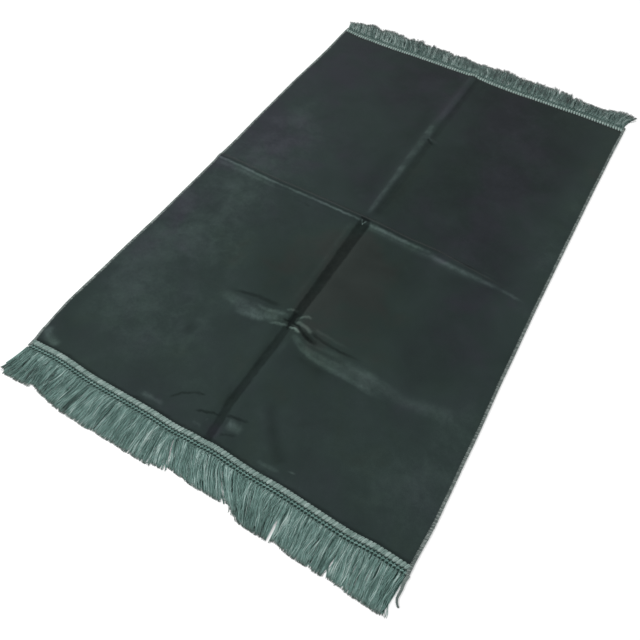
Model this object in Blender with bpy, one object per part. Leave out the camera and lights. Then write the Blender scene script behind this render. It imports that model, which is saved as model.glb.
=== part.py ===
"""Prayer rug lying flat: a velour cloth, overlocked along both sides, with a ribbed heading and a
fringe sewn along each end, and the creases left by folding it in four.

Metres, +Z up, floor at z = 0. Sizes are given on the cloth: u runs across it from the left side,
v runs along it from the near end. place() carries a point (u, v) to the rug's own frame, whose
origin is on the floor at the middle of the whole rug, with +X across it and +Y along it.
"""

import math
import random

import bmesh
import bpy

# ---------------------------------------------------------------- driving dimensions
WIDTH = 0.700  # over both overlocked sides
LENGTH = 1.056  # of the pile, between the two headings
MIDDLE_U = 0.3528  # middle of the whole rug, fringes included
MIDDLE_V = 0.5235

CLOTH_THICKNESS = 0.0030
GAP = 0.0003  # between pieces that are sewn side by side

SERGING_RADIUS = 0.0017
SERGING_OVERRUN = 0.0125  # the side edges run on past the pile, over both headings
SERGING_INNER = 2.0 * SERGING_RADIUS + GAP  # where the pile starts, from the side

HEADING_WIDTH = 0.0064
HEADING_THICKNESS = 0.0034  # in the valleys between its ribs
RIB_PITCH = 0.0059
RIB_RISE = 0.0008
NEAR_SLANT = 0.0030  # each rib's outer end lies this far to the left of its inner end
FAR_SLANT = 0.0016

BAND_WIDTH = 0.0070  # stitched band that the fringe hangs from
BAND_THICKNESS = 0.0024

STRANDS = 130  # on each end
STRAND_GAP = 0.0006  # between neighbours, at the root
STRAND_TIP_WIDTH = 0.85  # share of the spacing there
STRAND_CROWN = 0.70  # width of a strand's top over its foot
TIP_SLOPE = 1.25  # how fast the lean grows at the tip, over its mean

TAIL_RADIUS = 0.0015

# Places where the outline leaves the straight line: (distance along the edge, offset), metres
LEFT_EDGE = ((0.0, 0.0020), (0.025, -0.0012), (0.090, -0.0052), (0.200, -0.0030), (0.360, 0.0002),
             (0.480, 0.0003), (0.560, 0.0008), (0.700, -0.0008), (0.800, -0.0015), (0.960, 0.0013), (1.056, -0.0004))
RIGHT_EDGE = ((0.0, 0.0012), (0.065, 0.0038), (0.200, 0.0028), (0.350, 0.0), (0.520, -0.0018),
              (0.800, -0.0016), (0.950, -0.0008), (1.056, 0.0010))
NEAR_EDGE = ((0.0, -0.0010), (0.062, 0.0022), (0.135, -0.0010), (0.250, 0.0008), (0.290, -0.0001),
             (0.375, 0.0034), (0.440, 0.0012), (0.480, 0.0022), (0.602, -0.0013), (0.645, 0.0010), (0.700, -0.0003))
FAR_EDGE = ((0.0, 0.0), (0.045, -0.0042), (0.120, -0.0054), (0.205, -0.0020), (0.310, 0.0003),
            (0.440, -0.0034), (0.520, -0.0005), (0.600, 0.0024), (0.700, 0.0010))

# Creases and soft folds: path on the cloth, height, reach to its left and to its right seen along
# the path, and the lengths over which it rises at its start and fades at its end
FOLDS = (
    # half fold, across the rug: a crisp crest on a low swell, fading towards the right side
    (((-0.03, 0.5240), (0.345, 0.5235), (0.500, 0.5215), (0.690, 0.5030)), 0.0036, 0.010, 0.016, 0.06, 0.14),
    (((-0.03, 0.5230), (0.345, 0.5225), (0.690, 0.5080)), 0.0014, 0.042, 0.042, 0.06, 0.16),
    # lengthwise fold: a ridge in the far half
    (((0.345, 0.528), (0.3430, 0.700), (0.3450, 0.860), (0.3465, 1.100)), 0.0032, 0.019, 0.013, 0.03, 0.0),
    (((0.345, 0.545), (0.3465, 1.100)), 0.0010, 0.045, 0.045, 0.05, 0.0),
    # and a trough in the near half, between two low swells
    (((0.3280, -0.050), (0.3265, 0.250), (0.3240, 0.508)), 0.0026, 0.032, 0.0175, 0.0, 0.03),
    (((0.3635, -0.050), (0.3655, 0.250), (0.3675, 0.508)), 0.0026, 0.0175, 0.032, 0.0, 0.03),
    # quarter fold in the near half: a soft ridge on the left, a forked one on the right of the knot
    (((0.110, 0.2350), (0.250, 0.2370), (0.3380, 0.2440)), 0.0030, 0.020, 0.024, 0.09, 0.02),
    (((0.354, 0.2420), (0.385, 0.2250), (0.430, 0.2150), (0.640, 0.2060)), 0.0032, 0.015, 0.019, 0.01, 0.12),
    (((0.353, 0.2560), (0.400, 0.2530), (0.470, 0.2490)), 0.0018, 0.009, 0.009, 0.01, 0.06),
    (((0.353, 0.2660), (0.376, 0.2760)), 0.0016, 0.007, 0.007, 0.01, 0.01),
    # quarter fold in the far half: only a small pucker is left
    (((0.350, 0.8030), (0.374, 0.7890)), 0.0015, 0.009, 0.009, 0.01, 0.01),
    # the near left corner stands a little off the floor
    (((0.004, 0.0650), (0.052, 0.0150)), 0.0020, 0.018, 0.022, 0.02, 0.03),
)

# Spans of the cloth's grid: (from, to, spacing), closer where it is creased
ACROSS_SPANS = ((0.0, 0.060, 0.020), (0.060, 0.294, 0.0585), (0.294, 0.318, 0.012), (0.318, 0.380, 0.0062),
                (0.380, 0.398, 0.018), (0.398, 0.700, 0.0604))
ALONG_SPANS = ((0.0, 0.060, 0.020), (0.060, 0.190, 0.065), (0.190, 0.214, 0.012), (0.214, 0.278, 0.008),
               (0.278, 0.478, 0.100), (0.478, 0.498, 0.020), (0.498, 0.540, 0.006), (0.540, 0.568, 0.014),
               (0.568, 0.782, 0.107), (0.782, 0.812, 0.010), (0.812, 1.056, 0.122))

# Locks of the fringe: where their roots lie on the band, where their tips lie, and how far the
# tips reach from the band, at the left and at the right of each lock
NEAR_LOCKS = (
    (0.0045, 0.0100, -0.0050, 0.0040, 0.0455, 0.0590),
    (0.0100, 0.0520, 0.0040, 0.0545, 0.0598, 0.0594),
    (0.0520, 0.0980, 0.0548, 0.0925, 0.0534, 0.0589),
    (0.0980, 0.1400, 0.0928, 0.1345, 0.0591, 0.0621),
    (0.1400, 0.1850, 0.1350, 0.1830, 0.0614, 0.0642),
    (0.1850, 0.2620, 0.1833, 0.2690, 0.0617, 0.0619),
    (0.2620, 0.2875, 0.2693, 0.2960, 0.0621, 0.0594),
    (0.2875, 0.3050, 0.2975, 0.3245, 0.0569, 0.0544),
    (0.3050, 0.3500, 0.3268, 0.3790, 0.0484, 0.0544),
    (0.3500, 0.3920, 0.3790, 0.4245, 0.0544, 0.0534),
    (0.3920, 0.4300, 0.4285, 0.4600, 0.0464, 0.0609),
    (0.4300, 0.4650, 0.4600, 0.4850, 0.0624, 0.0631),
    (0.4650, 0.5050, 0.4850, 0.5090, 0.0634, 0.0634),
    (0.5050, 0.5400, 0.5125, 0.5450, 0.0594, 0.0617),
    (0.5400, 0.6000, 0.5450, 0.6000, 0.0621, 0.0599),
    (0.6000, 0.6400, 0.6045, 0.6450, 0.0579, 0.0642),
    (0.6400, 0.6915, 0.6450, 0.6900, 0.0642, 0.0634),
)
FAR_LOCKS = (
    (0.0045, 0.0295, -0.0032, 0.0175, 0.0255, 0.0405),
    (0.0295, 0.0475, 0.0175, 0.0335, 0.0430, 0.0415),
    (0.0475, 0.0630, 0.0335, 0.0475, 0.0465, 0.0530),
    (0.0630, 0.0720, 0.0475, 0.0560, 0.0530, 0.0480),
    (0.0720, 0.0970, 0.0560, 0.0800, 0.0515, 0.0465),
    (0.0970, 0.1135, 0.0800, 0.0960, 0.0495, 0.0540),
    (0.1135, 0.1250, 0.0960, 0.1070, 0.0540, 0.0485),
    (0.1250, 0.1725, 0.1070, 0.1530, 0.0540, 0.0470),
    (0.1725, 0.1995, 0.1530, 0.1845, 0.0490, 0.0560),
    (0.1995, 0.2210, 0.1845, 0.2080, 0.0500, 0.0440),
    (0.2210, 0.2605, 0.2095, 0.2500, 0.0505, 0.0510),
    (0.2605, 0.2780, 0.2500, 0.2700, 0.0490, 0.0415),
    (0.2780, 0.3055, 0.2700, 0.2960, 0.0415, 0.0500),
    (0.3055, 0.3360, 0.2960, 0.3250, 0.0480, 0.0445),
    (0.3360, 0.3530, 0.3250, 0.3420, 0.0470, 0.0430),
    (0.3530, 0.3850, 0.3420, 0.3770, 0.0485, 0.0485),
    (0.3850, 0.3940, 0.3770, 0.3870, 0.0525, 0.0490),
    (0.3940, 0.4280, 0.3870, 0.4250, 0.0515, 0.0585),
    (0.4280, 0.4640, 0.4250, 0.4600, 0.0550, 0.0480),
    (0.4640, 0.4805, 0.4600, 0.4770, 0.0505, 0.0505),
    (0.4805, 0.5375, 0.4770, 0.5325, 0.0510, 0.0540),
    (0.5375, 0.5610, 0.5365, 0.5600, 0.0530, 0.0490),
    (0.5610, 0.5710, 0.5600, 0.5700, 0.0480, 0.0395),
    (0.5710, 0.5850, 0.5700, 0.5850, 0.0450, 0.0385),
    (0.5850, 0.6055, 0.5850, 0.6070, 0.0440, 0.0385),
    (0.6055, 0.6305, 0.6070, 0.6330, 0.0440, 0.0345),
    (0.6305, 0.6575, 0.6330, 0.6640, 0.0410, 0.0500),
    (0.6575, 0.6640, 0.6640, 0.6720, 0.0430, 0.0520),
    (0.6640, 0.6915, 0.6720, 0.7100, 0.0540, 0.0530),
)

# Sections along a strand: (share of its length, height of its top, share of its sideways lean)
NEAR_SECTIONS = ((0.0, 0.0022, 0.0), (0.32, 0.0044, 0.18), (0.70, 0.0034, 0.62), (1.0, 0.0014, 1.0))
FAR_SECTIONS = ((0.0, 0.0022, 0.0), (0.32, 0.0048, 0.22), (0.70, 0.0042, 0.64), (1.0, 0.0020, 1.0))

# The loose end of the overlock chain lies on the floor beside the near fringe: (u, v)
TAIL_ROUTE = ((0.6996, -0.0131), (0.6990, -0.0175), (0.6983, -0.0220), (0.6986, -0.0270), (0.6993, -0.0325),
              (0.6993, -0.0375), (0.6989, -0.0425), (0.6992, -0.0470), (0.7009, -0.0511), (0.7033, -0.0540),
              (0.7057, -0.0562))


# ---------------------------------------------------------------- shape of the cloth
def smooth(t):
    """0 at t <= 0, 1 at t >= 1, with a soft start and end."""
    t = min(max(t, 0.0), 1.0)
    return t * t * (3.0 - 2.0 * t)


def grid_lines(spans):
    """Positions of grid lines from spans of even spacing."""
    lines = [spans[0][0]]
    for start, end, spacing in spans:
        steps = max(1, round((end - start) / spacing))
        for step in range(1, steps + 1):
            lines.append(start + (end - start) * step / steps)
    return lines


ACROSS_LINES = grid_lines(ACROSS_SPANS)
ALONG_LINES = grid_lines(ALONG_SPANS)


def offset_at(table, distance):
    """Offset of an edge table at a distance along the edge."""
    for (d0, o0), (d1, o1) in zip(table, table[1:]):
        if distance <= d1:
            return o0 + (o1 - o0) * smooth((distance - d0) / (d1 - d0))
    return table[-1][1]


def edge_offset(table, lines, distance):
    """Offset of the cloth's edge, which runs straight from one grid line to the next.

    What is sewn to the edge has closer points than the cloth, and meets it all the same.
    """
    distance = min(max(distance, lines[0]), lines[-1])
    for low, high in zip(lines, lines[1:]):
        if distance <= high:
            share = (distance - low) / (high - low)
            return (1.0 - share) * offset_at(table, low) + share * offset_at(table, high)


def place(u, v):
    """Point of the rug's frame, seen from above, for a point of the cloth."""
    across = u / WIDTH
    along = min(max(v / LENGTH, 0.0), 1.0)
    left = edge_offset(LEFT_EDGE, ALONG_LINES, v)
    right = edge_offset(RIGHT_EDGE, ALONG_LINES, v)
    near = edge_offset(NEAR_EDGE, ACROSS_LINES, u)
    far = edge_offset(FAR_EDGE, ACROSS_LINES, u)
    x = u + (1.0 - across) * left + across * right
    y = v + (1.0 - along) * near + along * far
    return x - MIDDLE_U, y - MIDDLE_V


def nearest_on_path(path, u, v):
    """Signed distance to a path (left of it is positive), distance along it, and its length."""
    best = None
    start = 0.0
    for (u0, v0), (u1, v1) in zip(path, path[1:]):
        length = math.hypot(u1 - u0, v1 - v0)
        du = (u1 - u0) / length
        dv = (v1 - v0) / length
        t = min(max((u - u0) * du + (v - v0) * dv, 0.0), length)
        distance = math.hypot(u - u0 - t * du, v - v0 - t * dv)
        side = math.copysign(1.0, du * (v - v0) - dv * (u - u0))
        if best is None or distance < abs(best[0]):
            best = (side * distance, start + t)
        start += length
    return best[0], best[1], start


def lift(u, v):
    """Height of the cloth's underside over the floor: zero wherever no fold reaches."""
    height = 0.0
    for path, crest, reach_left, reach_right, rise, fade in FOLDS:
        distance, along, length = nearest_on_path(path, u, v)
        reach = reach_left if distance > 0.0 else reach_right
        if abs(distance) >= reach:
            continue
        share = math.cos(0.5 * math.pi * distance / reach) ** 2
        if rise > 0.0:
            share *= smooth(along / rise)
        if fade > 0.0:
            share *= smooth((length - along) / fade)
        height += crest * share
    return height


# ---------------------------------------------------------------- helpers
def fabric(name, colour, roughness):
    material = bpy.data.materials.new(name)
    material.use_nodes = True
    shader = material.node_tree.nodes["Principled BSDF"]
    shader.inputs["Base Color"].default_value = (*colour, 1.0)
    shader.inputs["Roughness"].default_value = roughness
    shader.inputs["Metallic"].default_value = 0.0
    material.diffuse_color = (*colour, 1.0)
    return material


def add_object(name, data, material, collection):
    piece = bpy.data.objects.new(name, data)
    data.materials.append(material)
    collection.objects.link(piece)
    return piece


def add_mesh(name, bm, material, collection):
    mesh = bpy.data.meshes.new(name)
    bm.to_mesh(mesh)
    bm.free()
    return add_object(name, mesh, material, collection)


def long_bar(columns):
    """Unit cube cut into columns along X; returns it and each vertex's column line, 0 to columns."""
    bm = bmesh.new()
    bmesh.ops.create_cube(bm, size=1.0)
    long_edges = [edge for edge in bm.edges if abs(edge.verts[0].co.x - edge.verts[1].co.x) > 0.5]
    bmesh.ops.subdivide_edges(bm, edges=long_edges, cuts=columns - 1, use_grid_fill=True)
    line_of = {vertex: round((vertex.co.x + 0.5) * columns) for vertex in bm.verts}
    return bm, line_of


def thin_out(bm, line_of, keep_every, is_kept_side):
    """Dissolve the cross edges of a bar where nothing follows them, but for one in keep_every."""
    last = max(line_of.values())
    spare = []
    for edge in bm.edges:
        first, second = edge.verts
        line = line_of[first]
        if line != line_of[second] or line in (0, last) or line % keep_every == 0:
            continue
        if not is_kept_side(first.co, second.co):
            spare.append(edge)
    bmesh.ops.dissolve_edges(bm, edges=spare, use_verts=True)


# ---------------------------------------------------------------- the pieces
def make_cloth(material, collection):
    """Velour sheet: its underside is a grid laid on the folds, raised by its thickness."""
    across = [SERGING_INNER] + ACROSS_LINES[1:-1] + [WIDTH - SERGING_INNER]
    along = ALONG_LINES
    columns = len(across) - 1
    rows = len(along) - 1
    bm = bmesh.new()
    bmesh.ops.create_grid(bm, x_segments=columns, y_segments=rows, size=0.5)
    for vertex in bm.verts:
        u = across[round((vertex.co.x + 0.5) * columns)]
        v = along[round((vertex.co.y + 0.5) * rows)]
        vertex.co = (*place(u, v), lift(u, v))
    grown = bmesh.ops.extrude_face_region(bm, geom=bm.faces[:], use_keep_orig=True)
    pile = [item for item in grown["geom"] if isinstance(item, bmesh.types.BMVert)]
    bmesh.ops.translate(bm, verts=pile, vec=(0.0, 0.0, CLOTH_THICKNESS))
    bmesh.ops.recalc_face_normals(bm, faces=bm.faces)
    return add_mesh("rug_cloth", bm, material, collection)


def make_tube(name, points, radius, roundness, material, collection):
    """Round bar through points of the rug's frame."""
    curve = bpy.data.curves.new(name, "CURVE")
    curve.dimensions = "3D"
    spline = curve.splines.new("POLY")
    spline.points.add(len(points) - 1)
    for target, point in zip(spline.points, points):
        target.co = (*point, 1.0)
    curve.bevel_depth = radius
    curve.bevel_resolution = roundness
    curve.use_fill_caps = True
    return add_object(name, curve, material, collection)


def make_serging(name, u, material, collection):
    """Overlocked side: a rolled thread edge that follows the cloth's outline and folds."""
    stations = [-SERGING_OVERRUN] + ALONG_LINES + [LENGTH + SERGING_OVERRUN]
    edge_u = u + math.copysign(SERGING_RADIUS, WIDTH / 2.0 - u)
    points = [(*place(edge_u, v), lift(edge_u, v) + SERGING_RADIUS) for v in stations]
    return make_tube(name, points, SERGING_RADIUS, 2, material, collection)


def make_heading(name, end_v, outwards, slant, material, collection):
    """Whipped heading: slanted ribs across a flat braid, one peak and one valley for each."""
    start = SERGING_INNER
    span = WIDTH - 2.0 * SERGING_INNER
    ribs = round(span / RIB_PITCH)
    columns = 2 * ribs
    bm, line_of = long_bar(columns)
    thin_out(bm, line_of, 6, lambda a, b: a.z > 0.0 and b.z > 0.0)
    for vertex in bm.verts:
        line = line_of[vertex]
        is_outer = vertex.co.y > 0.0
        is_top = vertex.co.z > 0.0
        u = start + span * line / columns
        if is_top and is_outer and 0 < line < columns:
            u = max(u - slant, start + 0.2 * RIB_PITCH)
        v = end_v + outwards * (GAP + (HEADING_WIDTH if is_outer else 0.0))
        height = 0.0
        if is_top:
            height = HEADING_THICKNESS + (RIB_RISE if line % 2 else 0.0)
        vertex.co = (*place(u, v), lift(u, v) + height)
    bmesh.ops.recalc_face_normals(bm, faces=bm.faces)
    return add_mesh(name, bm, material, collection)


def lock_at(locks, u):
    """Tip position, reach and tip spacing over root spacing, for a root at u."""
    for root_from, root_to, tip_from, tip_to, reach_from, reach_to in locks:
        if u <= root_to:
            break
    share = (u - root_from) / (root_to - root_from)
    tip = tip_from + (tip_to - tip_from) * share
    reach = reach_from + (reach_to - reach_from) * share
    return tip, reach, (tip_to - tip_from) / (root_to - root_from)


def make_fringe(name, end_v, outwards, locks, sections, seed, material, collection):
    """Stitched band with its strands: each strand is drawn out of the band's own outer face."""
    uneven = random.Random(seed)
    start = locks[0][0]
    pitch = (locks[-1][1] - start) / STRANDS
    root_width = pitch - STRAND_GAP
    lines = [SERGING_INNER]
    for strand in range(STRANDS):
        middle = start + pitch * (strand + 0.5)
        lines += [middle - 0.5 * root_width, middle + 0.5 * root_width]
    lines.append(WIDTH - SERGING_INNER)
    bm, line_of = long_bar(len(lines) - 1)
    thin_out(bm, line_of, 8, lambda a, b: a.y > 0.0 and b.y > 0.0)
    inner_v = end_v + outwards * (HEADING_WIDTH + 2.0 * GAP)
    outer_v = inner_v + outwards * BAND_WIDTH
    roots = [None] * STRANDS
    for face in bm.faces:
        if min(vertex.co.y for vertex in face.verts) > 0.0:
            line = min(line_of[vertex] for vertex in face.verts)
            if line % 2:
                roots[line // 2] = face
    for vertex in bm.verts:
        u = lines[line_of[vertex]]
        v = outer_v if vertex.co.y > 0.0 else inner_v
        height = BAND_THICKNESS if vertex.co.z > 0.0 else 0.0
        vertex.co = (*place(u, v), lift(u, v) + height)
    for strand, face in enumerate(roots):
        draw_strand(bm, face, start + pitch * (strand + 0.5), pitch, outer_v, outwards, locks, sections, uneven)
    bmesh.ops.recalc_face_normals(bm, faces=bm.faces)
    return add_mesh(name, bm, material, collection)


def draw_strand(bm, face, root_u, pitch, root_v, outwards, locks, sections, uneven):
    """Extrude one root face through the sections, level on the floor and narrower to the tip."""
    tip_u, reach, spread = lock_at(locks, root_u)
    tip_share = 1.0 + uneven.uniform(-0.045, 0.015)
    crown_rise = uneven.uniform(0.85, 1.15)
    root_x, root_y = place(root_u, root_v)
    root_lift = lift(root_u, root_v)
    for share, top, lean in sections[1:]:
        face = bmesh.ops.extrude_discrete_faces(bm, faces=[face])["faces"][0]
        middle_x = sum(vertex.co.x for vertex in face.verts) / 4.0
        middle_z = sum(vertex.co.z for vertex in face.verts) / 4.0
        if share == 1.0:
            share = tip_share
            lean = 1.0 + (tip_share - 1.0) * TIP_SLOPE
        x = root_x + (tip_u - root_u) * lean
        y = root_y + outwards * reach * share
        spacing = pitch * (1.0 + (spread - 1.0) * lean)
        width = spacing * (1.0 + (STRAND_TIP_WIDTH - 1.0) * share) - STRAND_GAP
        foot = root_lift * (1.0 - smooth(1.8 * share))
        for vertex in face.verts:
            side = math.copysign(0.5, vertex.co.x - middle_x)
            if vertex.co.z > middle_z:
                vertex.co = (x + side * width * STRAND_CROWN, y, foot + top * crown_rise)
            else:
                vertex.co = (x + side * width, y, foot)


def make_tail(material, collection):
    points = [(u - MIDDLE_U, v - MIDDLE_V, TAIL_RADIUS) for u, v in TAIL_ROUTE]
    return make_tube("thread_tail", points, TAIL_RADIUS, 2, material, collection)


def main():
    for old in list(bpy.data.objects):
        bpy.data.objects.remove(old, do_unlink=True)
    rug = bpy.data.collections.new("prayer_rug")
    bpy.context.scene.collection.children.link(rug)

    velour = fabric("dark green velour", (0.030, 0.045, 0.043), 0.9)
    thread = fabric("pale green overlock thread", (0.22, 0.27, 0.25), 0.75)
    braid = fabric("grey green whipped braid", (0.17, 0.25, 0.23), 0.7)
    yarn = fabric("grey green fringe yarn", (0.12, 0.19, 0.17), 0.7)

    make_cloth(velour, rug)
    make_serging("side_serging_left", 0.0, thread, rug)
    make_serging("side_serging_right", WIDTH, thread, rug)
    make_heading("heading_near", 0.0, -1.0, NEAR_SLANT, braid, rug)
    make_heading("heading_far", LENGTH, 1.0, FAR_SLANT, braid, rug)
    make_fringe("fringe_near", 0.0, -1.0, NEAR_LOCKS, NEAR_SECTIONS, 11, yarn, rug)
    make_fringe("fringe_far", LENGTH, 1.0, FAR_LOCKS, FAR_SECTIONS, 12, yarn, rug)
    make_tail(thread, rug)


main()
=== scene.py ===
# %% [markdown]
# # A velour prayer rug, laid flat
# The rug is one thin velour cloth. Both long sides are overlocked with thread, and each short end
# has a ribbed heading, a stitched band and a fringe of cut yarns. It has been folded in four, and
# the creases still stand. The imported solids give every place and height, so each piece here is
# laid on the same named sizes and then takes the place of its solid.

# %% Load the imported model
import math

import bmesh
import bpy
import numpy as np
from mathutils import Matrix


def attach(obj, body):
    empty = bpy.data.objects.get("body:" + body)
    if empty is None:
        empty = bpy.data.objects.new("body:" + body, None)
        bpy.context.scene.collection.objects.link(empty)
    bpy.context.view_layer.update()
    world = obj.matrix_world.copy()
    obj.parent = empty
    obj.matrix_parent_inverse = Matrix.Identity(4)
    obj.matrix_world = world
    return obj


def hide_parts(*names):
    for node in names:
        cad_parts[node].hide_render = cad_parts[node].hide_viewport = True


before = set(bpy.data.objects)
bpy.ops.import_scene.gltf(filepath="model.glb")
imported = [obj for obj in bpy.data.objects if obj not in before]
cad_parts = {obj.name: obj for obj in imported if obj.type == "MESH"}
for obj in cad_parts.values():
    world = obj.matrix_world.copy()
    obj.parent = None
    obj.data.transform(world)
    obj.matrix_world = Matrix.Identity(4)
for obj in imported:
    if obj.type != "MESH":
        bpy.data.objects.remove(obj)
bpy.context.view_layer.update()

print("solids:", sorted(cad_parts))

# %% [markdown]
# ## The camera
# The view was worked out from the corners of the rug: a camera about 1.2 m away that looks down
# steeply over the near right corner. It is made first, so that every later look at the scene is
# the same one.

# %% Camera
CAMERA_PLACE = (0.31205, -0.76644, 0.89468)
CAMERA_TURN = (33.577, -1.739, 30.633)  # degrees about X, Y and Z
LENS = 35.18
SENSOR = 36.0

camera_data = bpy.data.cameras.new("camera")
camera_data.lens = LENS
camera_data.sensor_width = SENSOR
camera = bpy.data.objects.new("camera", camera_data)
camera.location = CAMERA_PLACE
camera.rotation_euler = [math.radians(angle) for angle in CAMERA_TURN]
bpy.context.scene.collection.objects.link(camera)
bpy.context.scene.camera = camera

# %% [markdown]
# ## Nodes in few words
# A material is a small web of nodes. This helper adds one node and fills its sockets: a value goes
# into the socket, and another node's output is linked to it. An effect that several finishes share
# becomes a group with named sockets, so that each material can give it its own numbers.

# %% Helpers for materials
def paint(red, green, blue):
    """A colour as a paint chart gives it, 0 to 255, turned into the linear values that light uses."""
    linear = [((c / 255.0 + 0.055) / 1.055) ** 2.4 for c in (red, green, blue)]
    return (*linear, 1.0)


def add(tree, kind, sockets=None, **settings):
    """Add a node. sockets maps an input to a value, or to the output that feeds it."""
    made = tree.nodes.new("ShaderNode" + kind)
    for key, value in settings.items():
        setattr(made, key, value)
    for key, value in (sockets or {}).items():
        if isinstance(value, bpy.types.NodeSocket):
            tree.links.new(value, made.inputs[key])
        else:
            made.inputs[key].default_value = value
    return made


def math_node(tree, operation, first, second=0.0, third=0.0):
    return add(tree, "Math", {0: first, 1: second, 2: third}, operation=operation).outputs[0]


def blend_colours(tree, share, first, second, blend_type="MIX"):
    made = add(tree, "Mix", {0: share, 6: first, 7: second}, data_type="RGBA", blend_type=blend_type)
    return made.outputs[2]


def colour_ramp(tree, value, stops):
    """Colours along value: stops are (position, colour) from low to high."""
    made = add(tree, "ValToRGB", {0: value})
    elements = made.color_ramp.elements
    for element, (position, colour) in zip(elements, (stops[0], stops[-1])):
        element.position, element.color = position, colour
    for position, colour in stops[1:-1]:
        elements.new(position).color = colour
    return made.outputs[0]


def new_group(name, inputs, outputs):
    group = bpy.data.node_groups.new(name, "ShaderNodeTree")
    for socket, kind, value in inputs:
        made = group.interface.new_socket(socket, in_out="INPUT", socket_type=kind)
        if value is not None:
            made.default_value = value
    for socket, kind in outputs:
        group.interface.new_socket(socket, in_out="OUTPUT", socket_type=kind)
    return group, group.nodes.new("NodeGroupInput").outputs, group.nodes.new("NodeGroupOutput").inputs


def new_material(name, roughness, sheen=0.0, sheen_roughness=0.5, specular=0.5):
    material = bpy.data.materials.new(name)
    material.use_nodes = True
    shader = material.node_tree.nodes["Principled BSDF"]
    shader.inputs["Roughness"].default_value = roughness
    shader.inputs["Sheen Weight"].default_value = sheen
    shader.inputs["Sheen Roughness"].default_value = sheen_roughness
    shader.inputs["Specular IOR Level"].default_value = specular
    return material, material.node_tree, shader.inputs

# %% [markdown]
# ## Twisted thread
# Overlock thread, braid and fringe yarn are all plied: fine strands twisted round each other. Cut
# fibres are far too small to model, so each thread is a round form that carries this group: a
# ridge that winds round it, read from the thread's own map (its length along, its turn around).

# %% The twist of a thread
twist, given, gives = new_group(
    "thread twist",
    [("Turns", "NodeSocketFloat", 300.0), ("Plies", "NodeSocketFloat", 2.0)],
    [("Ridge", "NodeSocketFloat")],
)
own_map = add(twist, "UVMap", uv_map="thread").outputs[0]
apart = add(twist, "SeparateXYZ", {0: own_map})
wound = math_node(twist, "MULTIPLY", apart.outputs[0], given["Turns"])
around = math_node(twist, "MULTIPLY_ADD", apart.outputs[1], given["Plies"], wound)
wave = math_node(twist, "SINE", math_node(twist, "MULTIPLY", around, 2.0 * math.pi))
twist.links.new(math_node(twist, "MULTIPLY_ADD", wave, 0.5, 0.5), gives["Ridge"])

# The ramp runs from painted shade in the gaps to painted gloss; the twist's ridge moves a thread along it,
# so the grooves between plies are painted darker as shade.
SHADE_STOPS = (0.08, 0.38, 0.70, 1.0)  # where a thread's four shades stand on its ramp
TONE_SHARE, RIDGE_SHARE, PATCH_SHARE = 0.66, 0.14, 0.26  # what moves a thread along its ramp


def thread_material(name, shades, turns, roughness, sheen, fibre_depth, browner_tip=None):
    """Plied thread. shades are the paints of its gaps, shaded yarns, lit yarns and gloss."""
    material, tree, shader = new_material(name, roughness, sheen, 0.45, 0.35)
    ridge = add(tree, "Group", {"Turns": turns}, node_tree=twist).outputs[0]
    tone = add(tree, "Attribute", attribute_name="tone").outputs["Fac"]
    spot = add(tree, "TexCoord").outputs["Object"]
    patch = add(tree, "TexNoise", {"Vector": spot, "Scale": 110.0, "Detail": 2.0}).outputs["Fac"]
    value = math_node(tree, "MULTIPLY", tone, TONE_SHARE)
    value = math_node(tree, "MULTIPLY_ADD", ridge, RIDGE_SHARE, value)
    value = math_node(tree, "MULTIPLY_ADD", patch, PATCH_SHARE, value)
    colour = colour_ramp(tree, value, [(stop, paint(*shade)) for stop, shade in zip(SHADE_STOPS, shades)])
    # towards its tip a yarn turns to a browner colour
    if browner_tip:
        tip = add(tree, "Attribute", attribute_name="tip").outputs["Fac"]
        colour = blend_colours(tree, tip, colour, paint(*browner_tip))
    tree.links.new(colour, shader["Base Color"])
    fibre = add(tree, "TexNoise", {"Vector": spot, "Scale": 2600.0, "Detail": 1.0}).outputs["Fac"]
    height = math_node(tree, "MULTIPLY_ADD", fibre, 0.25, ridge)
    bump = add(tree, "Bump", {"Height": height, "Strength": 0.7, "Distance": fibre_depth})
    tree.links.new(bump.outputs[0], shader["Normal"])
    return material

# %% [markdown]
# ## Many threads as one mesh
# A rug has thousands of threads, and thousands of objects would be slow. One thread is only a line
# of rings, so all of them are worked out together as arrays: every thread has the same number of
# rings, and the rings are joined by quads. Three to six sides are enough for something a
# millimetre thick, because smooth shading rounds them.

# %% Threads from arrays
def paint_points(mesh, word, values):
    """Put a value on each point of the mesh, for its material to read."""
    made = mesh.attributes.new(word, "FLOAT", "POINT")
    made.data.foreach_set("value", np.asarray(values, np.float32).ravel())


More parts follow.
